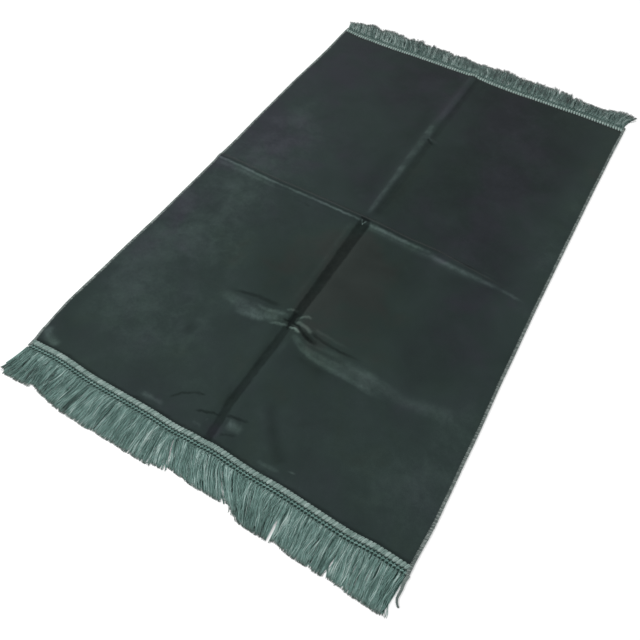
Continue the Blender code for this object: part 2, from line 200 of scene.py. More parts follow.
def spin_threads(name, paths, radius, sides=3, up=(0.0, 0.0, 1.0), tone=None, tip=None, closed=False):
    """Round threads in one mesh. paths is threads x points x 3, radius one size or one a point."""
    paths = np.asarray(paths, float)
    count, rings, _ = paths.shape
    if closed:
        ahead = np.roll(paths, -1, 1) - np.roll(paths, 1, 1)
    else:
        ahead = np.gradient(paths, axis=1)
    ahead /= np.linalg.norm(ahead, axis=2, keepdims=True)
    side = np.cross(ahead, np.asarray(up, float))
    side /= np.linalg.norm(side, axis=2, keepdims=True)
    over = np.cross(side, ahead)
    turn = 2.0 * np.pi * (np.arange(sides) + 0.25) / sides
    ring = np.cos(turn)[:, None] * side[:, :, None] + np.sin(turn)[:, None] * over[:, :, None]
    thick = np.broadcast_to(np.asarray(radius, float), (count, rings))[:, :, None, None]
    points = (paths[:, :, None] + thick * ring).reshape(-1, 3)

    spans = rings if closed else rings - 1
    first = np.arange(count)[:, None, None] * rings
    at = first + np.arange(spans)[:, None]
    after = first + (np.arange(spans)[:, None] + 1) % rings
    s0 = np.arange(sides)
    s1 = (s0 + 1) % sides
    quads = np.stack([at * sides + s0, after * sides + s0, after * sides + s1, at * sides + s1], -1)
    faces = quads.reshape(-1, 4).tolist()
    step = np.linalg.norm(np.diff(paths, axis=1), axis=2)
    along = np.concatenate([np.zeros((count, 1)), np.cumsum(step, axis=1)], axis=1)
    start = np.broadcast_to(along[:, :spans, None], (count, spans, sides))
    if closed:
        stop = start + step.mean(axis=1)[:, None, None]
    else:
        stop = np.broadcast_to(along[:, 1:, None], start.shape)
    turn0 = np.broadcast_to(s0 / sides, start.shape)
    turn1 = turn0 + 1.0 / sides
    corners = np.stack([start, turn0, stop, turn0, stop, turn1, start, turn1], -1).reshape(-1, 2)
    if not closed:
        caps = np.arange(count)[:, None] * rings * sides
        faces += (caps + s0).tolist()
        faces += (caps + (rings - 1) * sides + s0[::-1]).tolist()
        corners = np.concatenate([corners, np.zeros((2 * count * sides, 2))])
    mesh = bpy.data.meshes.new(name)
    mesh.from_pydata(points, [], faces, shade_flat=False)
    mesh.uv_layers.new(name="thread").data.foreach_set("uv", corners.astype(np.float32).ravel())
    for word, values in (("tone", tone), ("tip", tip)):
        if values is not None:
            values = np.asarray(values, float).reshape(count, -1, 1)
            paint_points(mesh, word, np.broadcast_to(values, (count, rings, sides)))
    return bpy.data.objects.new(name, mesh)


def join(name, pieces):
    """One object out of several that were made but not yet shown."""
    bm = bmesh.new()
    for piece in pieces:
        spent = piece.data
        bm.from_mesh(spent)
        bpy.data.objects.remove(piece)
        bpy.data.meshes.remove(spent)
    mesh = bpy.data.meshes.new(name)
    bm.to_mesh(mesh)
    bm.free()
    return bpy.data.objects.new(name, mesh)


def show(piece, materials, slot, *nodes):
    """Give a piece its finish and its place in the frame, where it stands for its solid."""
    for material in materials:
        piece.data.materials.append(material)
    bpy.context.scene.collection.objects.link(piece)
    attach(piece, "root")
    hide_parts(*nodes)
    piece.data.calc_loop_triangles()
    print(piece.name, len(piece.data.loop_triangles), "triangles")
    return piece

# %% [markdown]
# ## Sizes of the cloth
# Places are given on the cloth: u across from the left side, v along from the near end. place()
# carries them to the rug's frame, with the edges as uneven as the real ones, and lift() gives how
# high the folds carry the cloth over the floor. They hold the solids' own values, so that what is
# made here lies where the solids are. Long tables are written in millimetres, which are easier to
# read and to change, and are turned into metres at once.

# %% Outline
WIDTH = 0.700
LENGTH = 1.056
MIDDLE_U = 0.3528
MIDDLE_V = 0.5235
THICKNESS = 0.0030
SERGING_RADIUS = 0.0017
SERGING_OVERRUN = 0.0125
PILE_START = 0.0037  # where the pile starts, from the side
GAP = 0.0003
HEADING_WIDTH = 0.0064
BAND_WIDTH = 0.0070


def metres(lengths):
    """Millimetres turned into metres: one number, or rows of them, however deep."""
    if isinstance(lengths, (int, float)):
        return round(0.001 * lengths, 8)
    return tuple(metres(length) for length in lengths)


# how far each edge strays from straight: place along it, shift across it
LEFT_EDGE = metres((
    (0, 2), (25, -1.2), (90, -5.2), (200, -3), (360, 0.2), (480, 0.3), (560, 0.8), (700, -0.8), (800, -1.5),
    (960, 1.3), (1056, -0.4),
))
RIGHT_EDGE = metres((
    (0, 1.2), (65, 3.8), (200, 2.8), (350, 0), (520, -1.8), (800, -1.6), (950, -0.8), (1056, 1),
))
NEAR_EDGE = metres((
    (0, -1), (62, 2.2), (135, -1), (250, 0.8), (290, -0.1), (375, 3.4), (440, 1.2), (480, 2.2), (602, -1.3),
    (645, 1), (700, -0.3),
))
FAR_EDGE = metres((
    (0, 0), (45, -4.2), (120, -5.4), (205, -2), (310, 0.3), (440, -3.4), (520, -0.5), (600, 2.4), (700, 1),
))


def smooth(t):
    t = np.clip(t, 0.0, 1.0)
    return t * t * (3.0 - 2.0 * t)


def offset_at(table, distance):
    rows = np.array(table)
    distance = np.clip(distance, rows[0, 0], rows[-1, 0])
    low = np.clip(np.searchsorted(rows[:, 0], distance, side="right") - 1, 0, len(rows) - 2)
    share = smooth((distance - rows[low, 0]) / (rows[low + 1, 0] - rows[low, 0]))
    return rows[low, 1] + (rows[low + 1, 1] - rows[low, 1]) * share


def place(u, v):
    across = u / WIDTH
    along = np.clip(v / LENGTH, 0.0, 1.0)
    x = u + (1.0 - across) * offset_at(LEFT_EDGE, v) + across * offset_at(RIGHT_EDGE, v)
    y = v + (1.0 - along) * offset_at(NEAR_EDGE, u) + along * offset_at(FAR_EDGE, u)
    return x - MIDDLE_U, y - MIDDLE_V

# %% Folds
# path, height, reach to its left and to its right, length of its rise and of its fade
FOLDS = metres((
    (((-30, 524), (345, 523.5), (500, 521.5), (690, 503)), 3.6, 10, 16, 60, 140),
    (((-30, 523), (345, 522.5), (690, 508)), 1.4, 42, 42, 60, 160),
    (((345, 528), (343, 700), (345, 860), (346.5, 1100)), 3.2, 19, 13, 30, 0),
    (((345, 545), (346.5, 1100)), 1, 45, 45, 50, 0),
    (((328, -50), (326.5, 250), (324, 508)), 2.6, 32, 17.5, 0, 30),
    (((363.5, -50), (365.5, 250), (367.5, 508)), 2.6, 17.5, 32, 0, 30),
    (((110, 235), (250, 237), (338, 244)), 3, 20, 24, 90, 20),
    (((354, 242), (385, 225), (430, 215), (640, 206)), 3.2, 15, 19, 10, 120),
    (((353, 256), (400, 253), (470, 249)), 1.8, 9, 9, 10, 60),
    (((353, 266), (376, 276)), 1.6, 7, 7, 10, 10),
    (((350, 803), (374, 789)), 1.5, 9, 9, 10, 10),
    (((4, 65), (52, 15)), 2, 18, 22, 20, 30),
))


def beside(path, u, v):
    """How far each point is from a path (left of it is above zero), and how far along the path."""
    shape = np.broadcast(u, v).shape
    nearest = np.full(shape, np.inf)
    signed = np.zeros(shape)
    along = np.zeros(shape)
    start = 0.0
    for (u0, v0), (u1, v1) in zip(path, path[1:]):
        length = math.hypot(u1 - u0, v1 - v0)
        du = (u1 - u0) / length
        dv = (v1 - v0) / length
        t = np.clip((u - u0) * du + (v - v0) * dv, 0.0, length)
        distance = np.hypot(u - u0 - t * du, v - v0 - t * dv)
        is_left = du * (v - v0) - dv * (u - u0) > 0.0
        closer = distance < nearest
        nearest = np.where(closer, distance, nearest)
        signed = np.where(closer, np.where(is_left, distance, -distance), signed)
        along = np.where(closer, start + t, along)
        start += length
    return signed, along, start


def ends(along, length, rise, fade):
    share = np.ones(along.shape)
    if rise > 0.0:
        share = share * smooth(along / rise)
    if fade > 0.0:
        share = share * smooth((length - along) / fade)
    return share


def ridges(rows, u, v):
    """Sum of soft ridges at (u, v): each is highest on its path and gone at its reach."""
    total = np.zeros(np.broadcast(u, v).shape)
    for path, crest, reach_left, reach_right, rise, fade in rows:
        signed, along, length = beside(path, u, v)
        reach = np.where(signed > 0.0, reach_left, reach_right)
        share = np.cos(0.5 * np.pi * np.minimum(np.abs(signed) / reach, 1.0)) ** 2
        total += crest * share * ends(along, length, rise, fade)
    return total


def lift(u, v):
    return ridges(FOLDS, u, v)


def on_cloth(u, v, height):
    """Points of the rug's frame, at a height over the cloth's underside."""
    u, v = np.broadcast_arrays(np.asarray(u, float), np.asarray(v, float))
    x, y = place(u, v)
    return np.stack([x, y, lift(u, v) + height], -1)

# %% [markdown]
# ## The loose end of thread
# At the near right corner the overlock thread runs on past the cloth as a short chain and ends
# free on the floor. A machine makes it as loops drawn through each other, which look like a flat
# plait, so three threads swing from side to side and over each other along one line. The line is
# the solid's own, and the whole tail is in view: about 46 mm.

# %% Overlock thread and its tail
overlock = thread_material(
    "overlock thread", ((34, 46, 43), (74, 86, 83), (108, 119, 115), (160, 170, 166)),
    turns=260.0, roughness=0.62, sheen=0.15, fibre_depth=0.00025)

TAIL_ROUTE = metres((
    (699.6, -13.1), (699, -17.5), (698.3, -22), (698.6, -27), (699.3, -32.5), (699.3, -37.5),
    (698.9, -42.5), (699.2, -47), (700.9, -51.1), (703.3, -54), (705.7, -56.2),
))
TAIL_DIAMETER = 0.0030
TAIL_POINTS = 61
TAIL_WIDEST, TAIL_NARROWING = 1.15, 0.55  # shares of the plait's full width
TAIL_TONE, TAIL_FADING = 0.66, 0.30
PLAIT_PITCH = 0.0078
PLAIT_SWING = 0.00150
PLAIT_RISE = 0.00040
PLAIT_RADIUS = 0.00100
PLAIT_TONES = (-0.08, 0.10, 0.0)  # of its three threads

route = np.array(TAIL_ROUTE) - (MIDDLE_U, MIDDLE_V)
step = np.linalg.norm(np.diff(route, axis=0), axis=1)
reached = np.concatenate([[0.0], np.cumsum(step)])
TAIL_LENGTH = float(reached[-1])
at = np.linspace(0.0, TAIL_LENGTH, TAIL_POINTS)
tail_line = np.stack([np.interp(at, reached, route[:, 0]), np.interp(at, reached, route[:, 1]),
                      np.full(TAIL_POINTS, 0.5 * TAIL_DIAMETER)], -1)
heading_of = np.gradient(tail_line, axis=0)
sideways = np.cross(heading_of / np.linalg.norm(heading_of, axis=1)[:, None], (0.0, 0.0, 1.0))
phase = 2.0 * np.pi * (at[None] / PLAIT_PITCH + np.arange(3)[:, None] / 3.0)
narrow = TAIL_WIDEST - TAIL_NARROWING * smooth(at / TAIL_LENGTH)
plait = tail_line[None] + PLAIT_SWING * narrow[:, None] * np.sin(phase)[..., None] * sideways
plait[..., 2] += PLAIT_RISE * np.sin(2.0 * phase)
fading = TAIL_TONE - TAIL_FADING * smooth(at / TAIL_LENGTH)
tail = spin_threads("thread_tail_chain", plait, PLAIT_RADIUS * (0.55 + 0.45 * narrow), sides=6,
                    tone=fading + np.array(PLAIT_TONES)[:, None])
show(tail, [overlock], "overlock_thread", "thread_tail")
print("tail length", round(TAIL_LENGTH * 1000.0, 1), "mm")

# %% [markdown]
# ## The velour
# Velour is a short, dense pile that lies one way. Where it has been pressed or rubbed the pile
# lies another way and returns more or less light, so folds show as pale and dark streaks that
# are much stronger than their height alone would give. The streaks are painted on the cloth's
# points as an attribute called nap, along listed paths, and the material turns nap into colour.
# They are partly the pile's pressed state and partly painted light: painted highlights on the lit
# flanks of the folds, painted shade in the trough, on the unlit flanks and along the pile's rim
# beside the headings. Fine noise stands for the pile itself.

# %% Pressed places of the pile, with the painted highlights and painted shade of the folds
# strength (above zero is paler), softness of its sides; path, width at its start and end, rise, fade
NAP_AND_PAINTED_LIGHT_MARKS = [(strength, softness, *metres(lengths)) for strength, softness, *lengths in (
    # half fold: painted highlight in a thin pale line and the soft flank before it, painted shade in the
    # dark line behind it
    (0.27, 0.9, ((-10, 517.3), (100, 517.4), (250, 516.8)), 7.4, 6.4, 0, 10),
    (0.35, 0.9, ((240, 516.8), (345, 516.5)), 6.4, 6.4, 10, 10),
    (0.28, 1.0, ((350, 515), (420, 514.8), (505, 514)), 12, 9, 0, 40),
    (0.11, 1.0, ((-10, 509), (100, 509.5), (240, 511)), 22, 12, 0, 160),
    (0.17, 1.0, ((356, 510), (420, 508.5), (520, 506)), 24, 26, 5, 50),
    (0.27, 1.0, ((475, 509.5), (540, 506.8), (632, 504)), 14, 17, 30, 25),
    (0.12, 1.0, ((485, 504), (550, 500), (620, 500)), 22, 18, 30, 50),
    (0.22, 1.0, ((610, 505), (640, 503.5), (680, 499.5)), 13, 10, 30, 30),
    (0.12, 1.0, ((585, 520), (610, 519)), 8, 6, 10, 10),
    (-0.13, 1.0, ((-10, 522.2), (345, 521.8), (450, 521), (540, 519.5)), 5, 4.4, 0, 160),
    (-0.27, 1.0, ((-10, 528.6), (120, 527.6), (200, 529.2), (290, 530), (400, 528.6), (460, 527.4),
      (535, 524), (600, 518.5)), 7.4, 9.6, 0, 50),
    # lengthwise fold, near half: dark trough, painted shade in the fold's valley
    (-0.24, 0.5, ((350.5, -20), (350, 25), (346.5, 60), (347, 120), (347.5, 240)), 17, 18, 0, 0),
    (-0.12, 0.9, ((340, 56), (340, 90)), 14, 14, 10, 10),
    (-0.1, 0.9, ((341, 130), (341, 205)), 18, 18, 30, 20),
    (-0.36, 0.36, ((347.5, 254), (347, 360), (346, 512)), 19, 28, 0, 0),
    (0.07, 1.0, ((328, 285), (327, 390), (324, 510)), 15, 18, 40, 10),
    (0.24, 1.0, ((360, 38), (392, 38)), 29, 22, 6, 10),
    (0.34, 0.8, ((330, 27.8), (333, 27.8)), 3.6, 3.6, 0, 0),
    (0.12, 1.0, ((312, 15), (332, 15)), 10, 10, 6, 4),
    (0.3, 0.9, ((488, 25), (492, 25)), 5, 5, 0, 0),
    # lengthwise fold, far half: pale and blotchy painted highlight on the lit left of the ridge, painted
    # shade on its right
    (0.11, 0.6, ((341.5, 533), (340.5, 600), (341.5, 680), (341, 860)), 15, 27, 20, 40),
    (0.08, 0.8, ((340.5, 535), (340.5, 670)), 10, 12, 10, 20),
    (0.12, 0.8, ((337.5, 675), (340.5, 695)), 22, 18, 8, 8),
    (0.06, 0.9, ((343.5, 650), (341.5, 670)), 15, 20, 8, 8),
    (0.1, 0.8, ((337.5, 715), (339.5, 750)), 19, 21, 10, 10),
    (0.07, 0.9, ((343.5, 760), (341.5, 790)), 21, 18, 12, 10),
    (0.12, 0.8, ((339.5, 805), (337.5, 850)), 24, 17, 12, 10),
    (0.12, 0.6, ((341.5, 845), (343.5, 920), (345.5, 1060)), 18, 23, 20, 10),
    (-0.08, 0.8, ((356, 540), (357, 700), (358, 1060)), 22, 16, 20, 20),
    (0.09, 1.0, ((285, 585), (305, 595)), 12, 9, 6, 6),
    (0.07, 1.0, ((295, 574), (315, 580)), 8, 7, 6, 6),
    (-0.05, 1.0, ((368, 540), (368, 740)), 40, 30, 20, 100),
    # quarter fold, left of the knot: a broad painted highlight on the flank that narrows to the knot, a
    # dark line of painted shade above it
    (0.14, 0.7, ((202, 241), (235, 238.5), (270, 237), (300, 240), (336, 251)), 24, 44, 50, 10),
    (0.16, 0.9, ((245, 223), (270, 223), (308, 228)), 18, 16, 20, 20),
    (0.15, 0.9, ((255, 250), (300, 251), (338, 257)), 17, 13, 40, 4),
    (0.24, 0.9, ((326, 266), (334, 270), (343, 274)), 8, 9, 4, 0),
    (0.11, 0.9, ((255, 234), (290, 232), (328, 244)), 30, 26, 30, 10),
    (-0.2, 1.0, ((210, 252), (240, 259), (270, 267), (318, 268)), 10, 15, 40, 20),
    (0.32, 0.8, ((316, 227), (330, 234), (344, 240)), 5, 11, 4, 0),
    (-0.3, 0.9, ((330, 247), (344, 249)), 5, 7, 8, 0),
    # quarter fold, right of the knot: painted highlights on the pale arms and painted shade in the dark
    # fold between them
    (0.16, 0.75, ((360, 227), (387, 216), (413, 211), (450, 212.5), (490, 215.5),
      (560, 214)), 14, 56, 10, 60),
    (0.12, 0.9, ((380, 213), (415, 205.5), (470, 203), (550, 201)), 10, 16, 10, 40),
    (0.1, 1.0, ((500, 216), (570, 218), (620, 225), (675, 229)), 40, 44, 60, 40),
    (-0.07, 1.0, ((390, 195), (460, 192)), 16, 16, 10, 30),
    (0.34, 0.9, ((353, 253.5), (370, 251.5), (390, 248)), 10, 12, 0, 6),
    (0.27, 0.8, ((352, 259), (359, 267), (376, 273)), 8, 8, 0, 6),
    (0.1, 1.0, ((385, 257), (470, 255)), 14, 12, 10, 40),
    (0.09, 1.0, ((385, 227), (430, 232), (480, 230), (560, 228)), 12, 32, 10, 60),
    (0.06, 1.0, ((362, 218), (362, 170)), 14, 14, 10, 30),
    (-0.46, 0.8, ((352, 249), (364, 246), (376, 238), (390, 233), (410, 231)), 6, 10, 0, 20),
    (-0.2, 0.9, ((374, 240), (410, 233)), 15, 16, 4, 10),
    (-0.24, 1.0, ((386, 248), (410, 244), (450, 243), (492, 244.5)), 9, 8, 10, 40),
    # the knot where both folds cross, and the small one at the middle of the rug: painted highlights and
    # painted shade
    (0.7, 0.8, ((350, 239), (360, 238), (374, 234)), 7.5, 10, 0, 6),
    (-0.62, 0.6, ((347.5, 236), (347, 266)), 6, 11, 0, 0),
    (0.6, 0.6, ((339, 517.5), (344, 511)), 3.4, 3.4, 0, 0),
    (0.6, 0.6, ((344, 511), (348, 516.5)), 3.4, 3.4, 0, 0),
    (-0.55, 0.7, ((337, 522.5), (352, 522)), 7, 7, 0, 0),
    # far quarter fold, a painted highlight and painted shade, and small pale and dark marks
    (0.22, 0.8, ((350, 802), (366, 793)), 5, 5, 0, 10),
    (-0.26, 0.8, ((350, 796), (368, 786)), 7, 7, 0, 10),
    (-0.2, 0.9, ((200, 507), (208, 498.5)), 5, 5, 2, 2),
    (0.16, 0.9, ((208, 496.5), (215, 498.5)), 4, 4, 2, 2),
    (-0.14, 1.0, ((220, 501), (236, 497)), 6, 6, 4, 4),
    (0.29, 1.0, ((5, 36), (18, 16), (48, 8)), 30, 25, 10, 10),
    (-0.24, 1.0, ((257, 29), (273, 48), (294, 61), (308, 62.5)), 5.8, 5.8, 10, 6),
    (-0.28, 0.9, ((305, 33), (323, 38.5), (344, 45)), 6, 5.8, 10, 0),
    (-0.28, 0.9, ((356, 49.5), (376, 52.5), (392, 58)), 5.6, 6, 0, 10),
    (-0.18, 1.0, ((362, 16), (388, 29)), 6, 6, 4, 10),
    (-0.13, 1.0, ((395, 108), (430, 64), (468, 24)), 30, 36, 20, 10),
    (0.18, 1.0, ((212, 14), (260, 16)), 15, 14, 10, 10),
    (0.12, 1.0, ((430, 14), (475, 15)), 12, 10, 10, 10),
    (-0.18, 1.0, ((208, 170), (212, 130)), 24, 24, 20, 20),
    # the pile's rim along both ends: painted shade where the headings meet the pile
    (-0.26, 1.0, ((0, 3), (700, 3)), 6, 6, 0, 0),
    (-0.34, 1.0, ((0, 1052), (700, 1052)), 10, 10, 0, 0),
)]

# broad patches where the pile was left paler or darker by the last hand, partly painted shade that darkens
# away from the lit left side: strength of a broad patch; its middle and its two reaches
BRUSHED_AND_PAINTED_SHADE = [(strength, *metres(lengths)) for strength, *lengths in (
    (-0.04, 350, 500, 2000, 2000), (-0.06, 350, 1050, 600, 80), (0.09, 130, 140, 90, 80),
    (-0.06, 60, 50, 70, 30), (-0.06, 10, 120, 20, 70), (0.03, 560, 90, 120, 150), (0.02, 250, 75, 60, 35),
    (-0.03, 400, 150, 60, 60), (-0.05, 400, 195, 40, 20), (-0.04, 480, 45, 60, 30),
    (0.08, 150, 320, 90, 50), (-0.08, 240, 340, 80, 60), (0.07, 100, 430, 120, 110),
    (0.05, 40, 250, 60, 140), (-0.04, 430, 330, 90, 110), (-0.07, 430, 455, 90, 50),
    (-0.12, 620, 340, 110, 150), (0.09, 680, 220, 60, 190), (-0.04, 130, 930, 110, 110),
    (-0.05, 190, 920, 60, 70), (0.08, 60, 640, 80, 120), (-0.09, 260, 900, 60, 130),
    (-0.06, 270, 590, 60, 60), (-0.06, 390, 620, 50, 80), (-0.09, 430, 760, 90, 200),
    (-0.14, 560, 820, 120, 200), (-0.09, 440, 980, 130, 100), (-0.075, 510, 560, 80, 80),
    (-0.04, 640, 540, 70, 60), (0.07, 670, 620, 40, 130), (-0.06, 20, 690, 30, 60),
    (-0.04, 300, 660, 20, 60), (-0.06, 312, 770, 22, 190), (-0.05, 450, 1030, 260, 40),
    (-0.04, 385, 455, 35, 45), (-0.035, 588, 560, 50, 110), (0.06, 680, 850, 30, 200),
)]
# the same for hue: above zero is warmer, below zero cooler, as light falls on the pile
TINTED = [(strength, *metres(lengths)) for strength, *lengths in (
    (-0.65, 60, 960, 140, 140), (-0.8, 280, 960, 80, 100), (-0.45, 100, 640, 90, 100),
    (-0.65, 25, 690, 60, 130), (-0.35, 340, 960, 12, 80), (-0.7, 470, 940, 90, 120),
    (-0.8, 550, 710, 70, 170), (-0.55, 610, 440, 90, 120), (0.45, 690, 850, 35, 220),
    (-0.4, 15, 330, 40, 220), (0.7, 370, 640, 20, 120), (0.8, 390, 430, 70, 60), (0.6, 310, 420, 60, 70),
    (-0.36, 200, 610, 240, 110), (0.5, 420, 330, 100, 80), (0.4, 250, 330, 80, 60),
    (0.25, 560, 120, 80, 90), (0.3, 240, 80, 80, 70), (0.34, 360, 190, 140, 80), (0.28, 410, 285, 70, 40),
    (-0.85, 352, 15, 12, 14),
)]


def wander(u, v):
    """A slow wobble of half a millimetre, so that pressed lines are not ruled straight."""
    return (0.0006 * np.sin(310.0 * u + 120.0 * v) * np.sin(205.0 * v - 90.0 * u + 0.7)
            + 0.0005 * np.sin(640.0 * v + 380.0 * u + 1.3) * np.sin(510.0 * u - 300.0 * v))


def patches_at(rows, u, v):
    total = np.zeros(np.broadcast(u, v).shape)
    for strength, mid_u, mid_v, reach_u, reach_v in rows:
        total += strength * np.exp(-((u - mid_u) / reach_u) ** 2 - ((v - mid_v) / reach_v) ** 2)
    return total


def nap_and_painted_light_at(u, v):
    total = patches_at(BRUSHED_AND_PAINTED_SHADE, u, v)
    wobble = wander(u, v)
    for strength, softness, path, width_start, width_end, rise, fade in NAP_AND_PAINTED_LIGHT_MARKS:
        signed, along, length = beside(path, u, v)
        half = 0.5 * (width_start + (width_end - width_start) * along / length)
        inside = (half - np.abs(signed + wobble)) / (half * softness)
        total += strength * smooth(inside) * ends(along, length, rise, fade)
    return total

# %% [markdown]
# Small creases that the solids leave out only bend the pile's own surface: the spokes round each
# knot, a shallow furrow in the bottom of the trough, and a few soft dents.

# %% Fine creases
FINE_CREASES = metres((
    (((345.7, -20), (345.7, 238)), -0.8, 7, 7, 0, 20),
    (((345.7, 256), (345.7, 518)), -1, 8, 8, 20, 10),
    (((-10, 517.5), (345, 517), (500, 515), (600, 512)), 0.5, 3.5, 3.5, 0, 80),
    (((340, 250), (352, 249), (364, 246), (376, 238), (390, 233), (410, 231)), -1.2, 4.5, 4.5, 0, 20),
    (((350, 239), (360, 238), (374, 234)), 1.2, 3.5, 4.5, 0, 5),
    (((386, 248), (410, 244), (492, 244.5)), -0.6, 4.5, 4.5, 10, 30),
    (((345.7, 240), (345.7, 268)), -1.6, 6, 7, 0, 0),
    (((335, 245), (318, 233)), 0.6, 4, 4, 0, 6),
    (((336, 260), (320, 264), (300, 260)), 0.6, 4, 6, 0, 10),
    (((336, 268), (330, 277)), 0.6, 4, 4, 0, 4),
    (((339, 517.5), (344, 512), (349, 517)), 0.8, 3, 3, 0, 0),
    (((555, 525), (565, 524)), 0.8, 5, 5, 0, 0),
    (((590, 524.5), (600, 523.5)), 0.8, 5, 5, 0, 0),
    (((305, 33), (344, 45)), -0.4, 5, 5, 10, 10),
    (((356, 49.5), (392, 58)), -0.4, 5, 5, 10, 10),
    (((190, 279), (250, 270), (295, 268)), -0.4, 7, 7, 50, 30),
))


def dents(u, v):
    """Slow rise and fall of the pile, a fifth of a millimetre, so that no stretch is dead flat."""
    return (0.00012 * np.sin(37.0 * u + 11.0 * v + 0.6) * np.sin(29.0 * v - 13.0 * u)
            + 0.00010 * np.sin(83.0 * u - 41.0 * v) * np.sin(71.0 * v + 23.0 * u + 1.9))

# %% [markdown]
# ## The cloth as a mesh
# A grid is the natural start for a flat cloth: its lines can stand close together where there are
# creases and far apart elsewhere. The grid is extruded once, so that it is a closed sheet 3 mm
# thick; the lower copy lies on the folds, and the upper one also takes the fine creases. Its rim
# is lowered a little, as pile is at a cut edge.

# %% Cloth
# from, to, distance between the grid's lines there
ACROSS_SPANS = metres((
    (2.1, 4.9, 0.9), (4.9, 50, 6), (50, 230, 7.5), (230, 320, 3), (320, 372, 1.55), (372, 410, 2.4),
    (410, 480, 4.5), (480, 695.1, 7.5), (695.1, 697.9, 0.9),
))
ALONG_SPANS = metres((
    (-0.4, 2.4, 0.9), (2.4, 70, 2.7), (70, 190, 9.2), (190, 234, 2.6), (234, 266, 1.3), (266, 285, 2),
    (285, 490, 8.5), (490, 508, 2.2), (508, 533, 1), (533, 560, 2.6), (560, 775, 8.5), (775, 812, 2.8),
    (812, 1053.6, 9), (1053.6, 1056.4, 0.9),
))
RIM_DROP, RIM_REACH = 0.0013, 0.0034  # how far the pile falls at its rim, and from how far in


def grid_lines(spans):
    lines = [spans[0][0]]
    for start, end, spacing in spans:
        steps = max(1, round((end - start) / spacing))
        lines += [start + (end - start) * (i + 1) / steps for i in range(steps)]
    return np.array(lines)


def stored_place(face):
    """A number of its own for each face. The rim's faces come in no fixed order, and this sorts them."""
    corners = [vertex.index for vertex in face.verts]
    return min(corners) * 1e6 + max(corners)


def make_cloth():
    across = grid_lines(ACROSS_SPANS)
    along = grid_lines(ALONG_SPANS)
    columns = len(across) - 1
    rows = len(along) - 1
    bm = bmesh.new()
    bmesh.ops.create_grid(bm, x_segments=columns, y_segments=rows, size=0.5)
    grown = bmesh.ops.extrude_face_region(bm, geom=bm.faces[:], use_keep_orig=True)
    top = [item for item in grown["geom"] if isinstance(item, bmesh.types.BMVert)]
    bmesh.ops.translate(bm, verts=top, vec=(0.0, 0.0, 1.0))
    bmesh.ops.recalc_face_normals(bm, faces=bm.faces)
    bm.verts.index_update()
    bm.faces.sort(key=stored_place)
    for face in bm.faces:
        face.smooth = abs(face.normal.z) > 0.5
        face.material_index = 1 if face.normal.z < -0.5 else 0
    mesh = bpy.data.meshes.new("velour_cloth")
    bm.to_mesh(mesh)
    bm.free()

    flat = np.empty(len(mesh.vertices) * 3, np.float32)
    mesh.vertices.foreach_get("co", flat)
    flat = flat.reshape(-1, 3).astype(float)
    u = across[np.rint((flat[:, 0] + 0.5) * columns).astype(int)]
    v = along[np.rint((flat[:, 1] + 0.5) * rows).astype(int)]
    is_top = flat[:, 2] > 0.5
    rim = np.minimum(np.minimum(u - across[0], across[-1] - u), np.minimum(v - along[0], along[-1] - v))
    pile = THICKNESS + ridges(FINE_CREASES, u, v) + dents(u, v) - RIM_DROP * (1.0 - smooth(rim / RIM_REACH))
    points = on_cloth(u, v, np.where(is_top, pile, 0.0))
    mesh.vertices.foreach_set("co", points.astype(np.float32).ravel())
    # the nap attribute holds the pressed pile together with painted highlights and painted shade of the
    # folds
    paint_points(mesh, "nap_and_painted_light", nap_and_painted_light_at(u, v))
    paint_points(mesh, "warmth", patches_at(TINTED, u, v))
    mesh.update()
    return bpy.data.objects.new("velour_cloth", mesh)

# %% [markdown]
# The pile's colour is one ramp from dark to pale. Three things move it along the ramp: the nap
# attribute, which holds the pressed pile and the painted highlights and painted shade of the folds,
# slow patches as a hand leaves them, and the grain of the pile. A second ramp shifts the hue a
# little: by place, as light falls on the pile, which is painted light, and by slow noise, because
# dyed pile is never one green. The back is the plain weave that the pile is bound into, as two
# crossed rows of ribs.

# %% Finishes of the cloth
patches, given, gives = new_group(
    "soft patches",
    [("Vector", "NodeSocketVector", None), ("Scale", "NodeSocketFloat", 8.0)],
    [("Patch", "NodeSocketFloat")],
)
wide_noise = add(patches, "TexNoise", {"Vector": given["Vector"], "Scale": given["Scale"], "Detail": 3.0,
                                       "Roughness": 0.55, "Distortion": 0.4}).outputs["Fac"]
centred = add(patches, "MapRange", {
    "Value": wide_noise, "From Min": 0.28, "From Max": 0.72, "To Min": -1.0})
patches.links.new(centred.outputs[0], gives["Patch"])

PATCH_SCALES = (4.3, 9.0, 15.0, 42.0, 170.0)  # from the widest patches to the finest
PLAIN_LEVEL = 0.40  # where untouched pile stands on the ramp of shades
PILE_SHADES = ((0.05, (14, 20, 20)), (0.20, (20, 27, 26)), (0.32, (29, 36, 35)), (0.42, (40, 48, 47)),
               (0.50, (54, 63, 61)), (0.60, (70, 80, 78)), (0.75, (90, 101, 98)), (0.95, (112, 123, 120)))
PLAIN_HUE = 0.52
# from cool to warm: what each filter lets through of red, green and blue
HUE_FILTERS = ((0.10, (0.52, 0.435, 0.54)), (0.36, (0.444, 0.466, 0.484)), (0.62, (0.426, 0.482, 0.465)),
               (0.72, (0.430, 0.486, 0.452)), (0.92, (0.50, 0.46, 0.44)))
FILTER_LOSS = 2.15  # makes up for the light that the filters take
WEAVE_PITCH = 0.0016


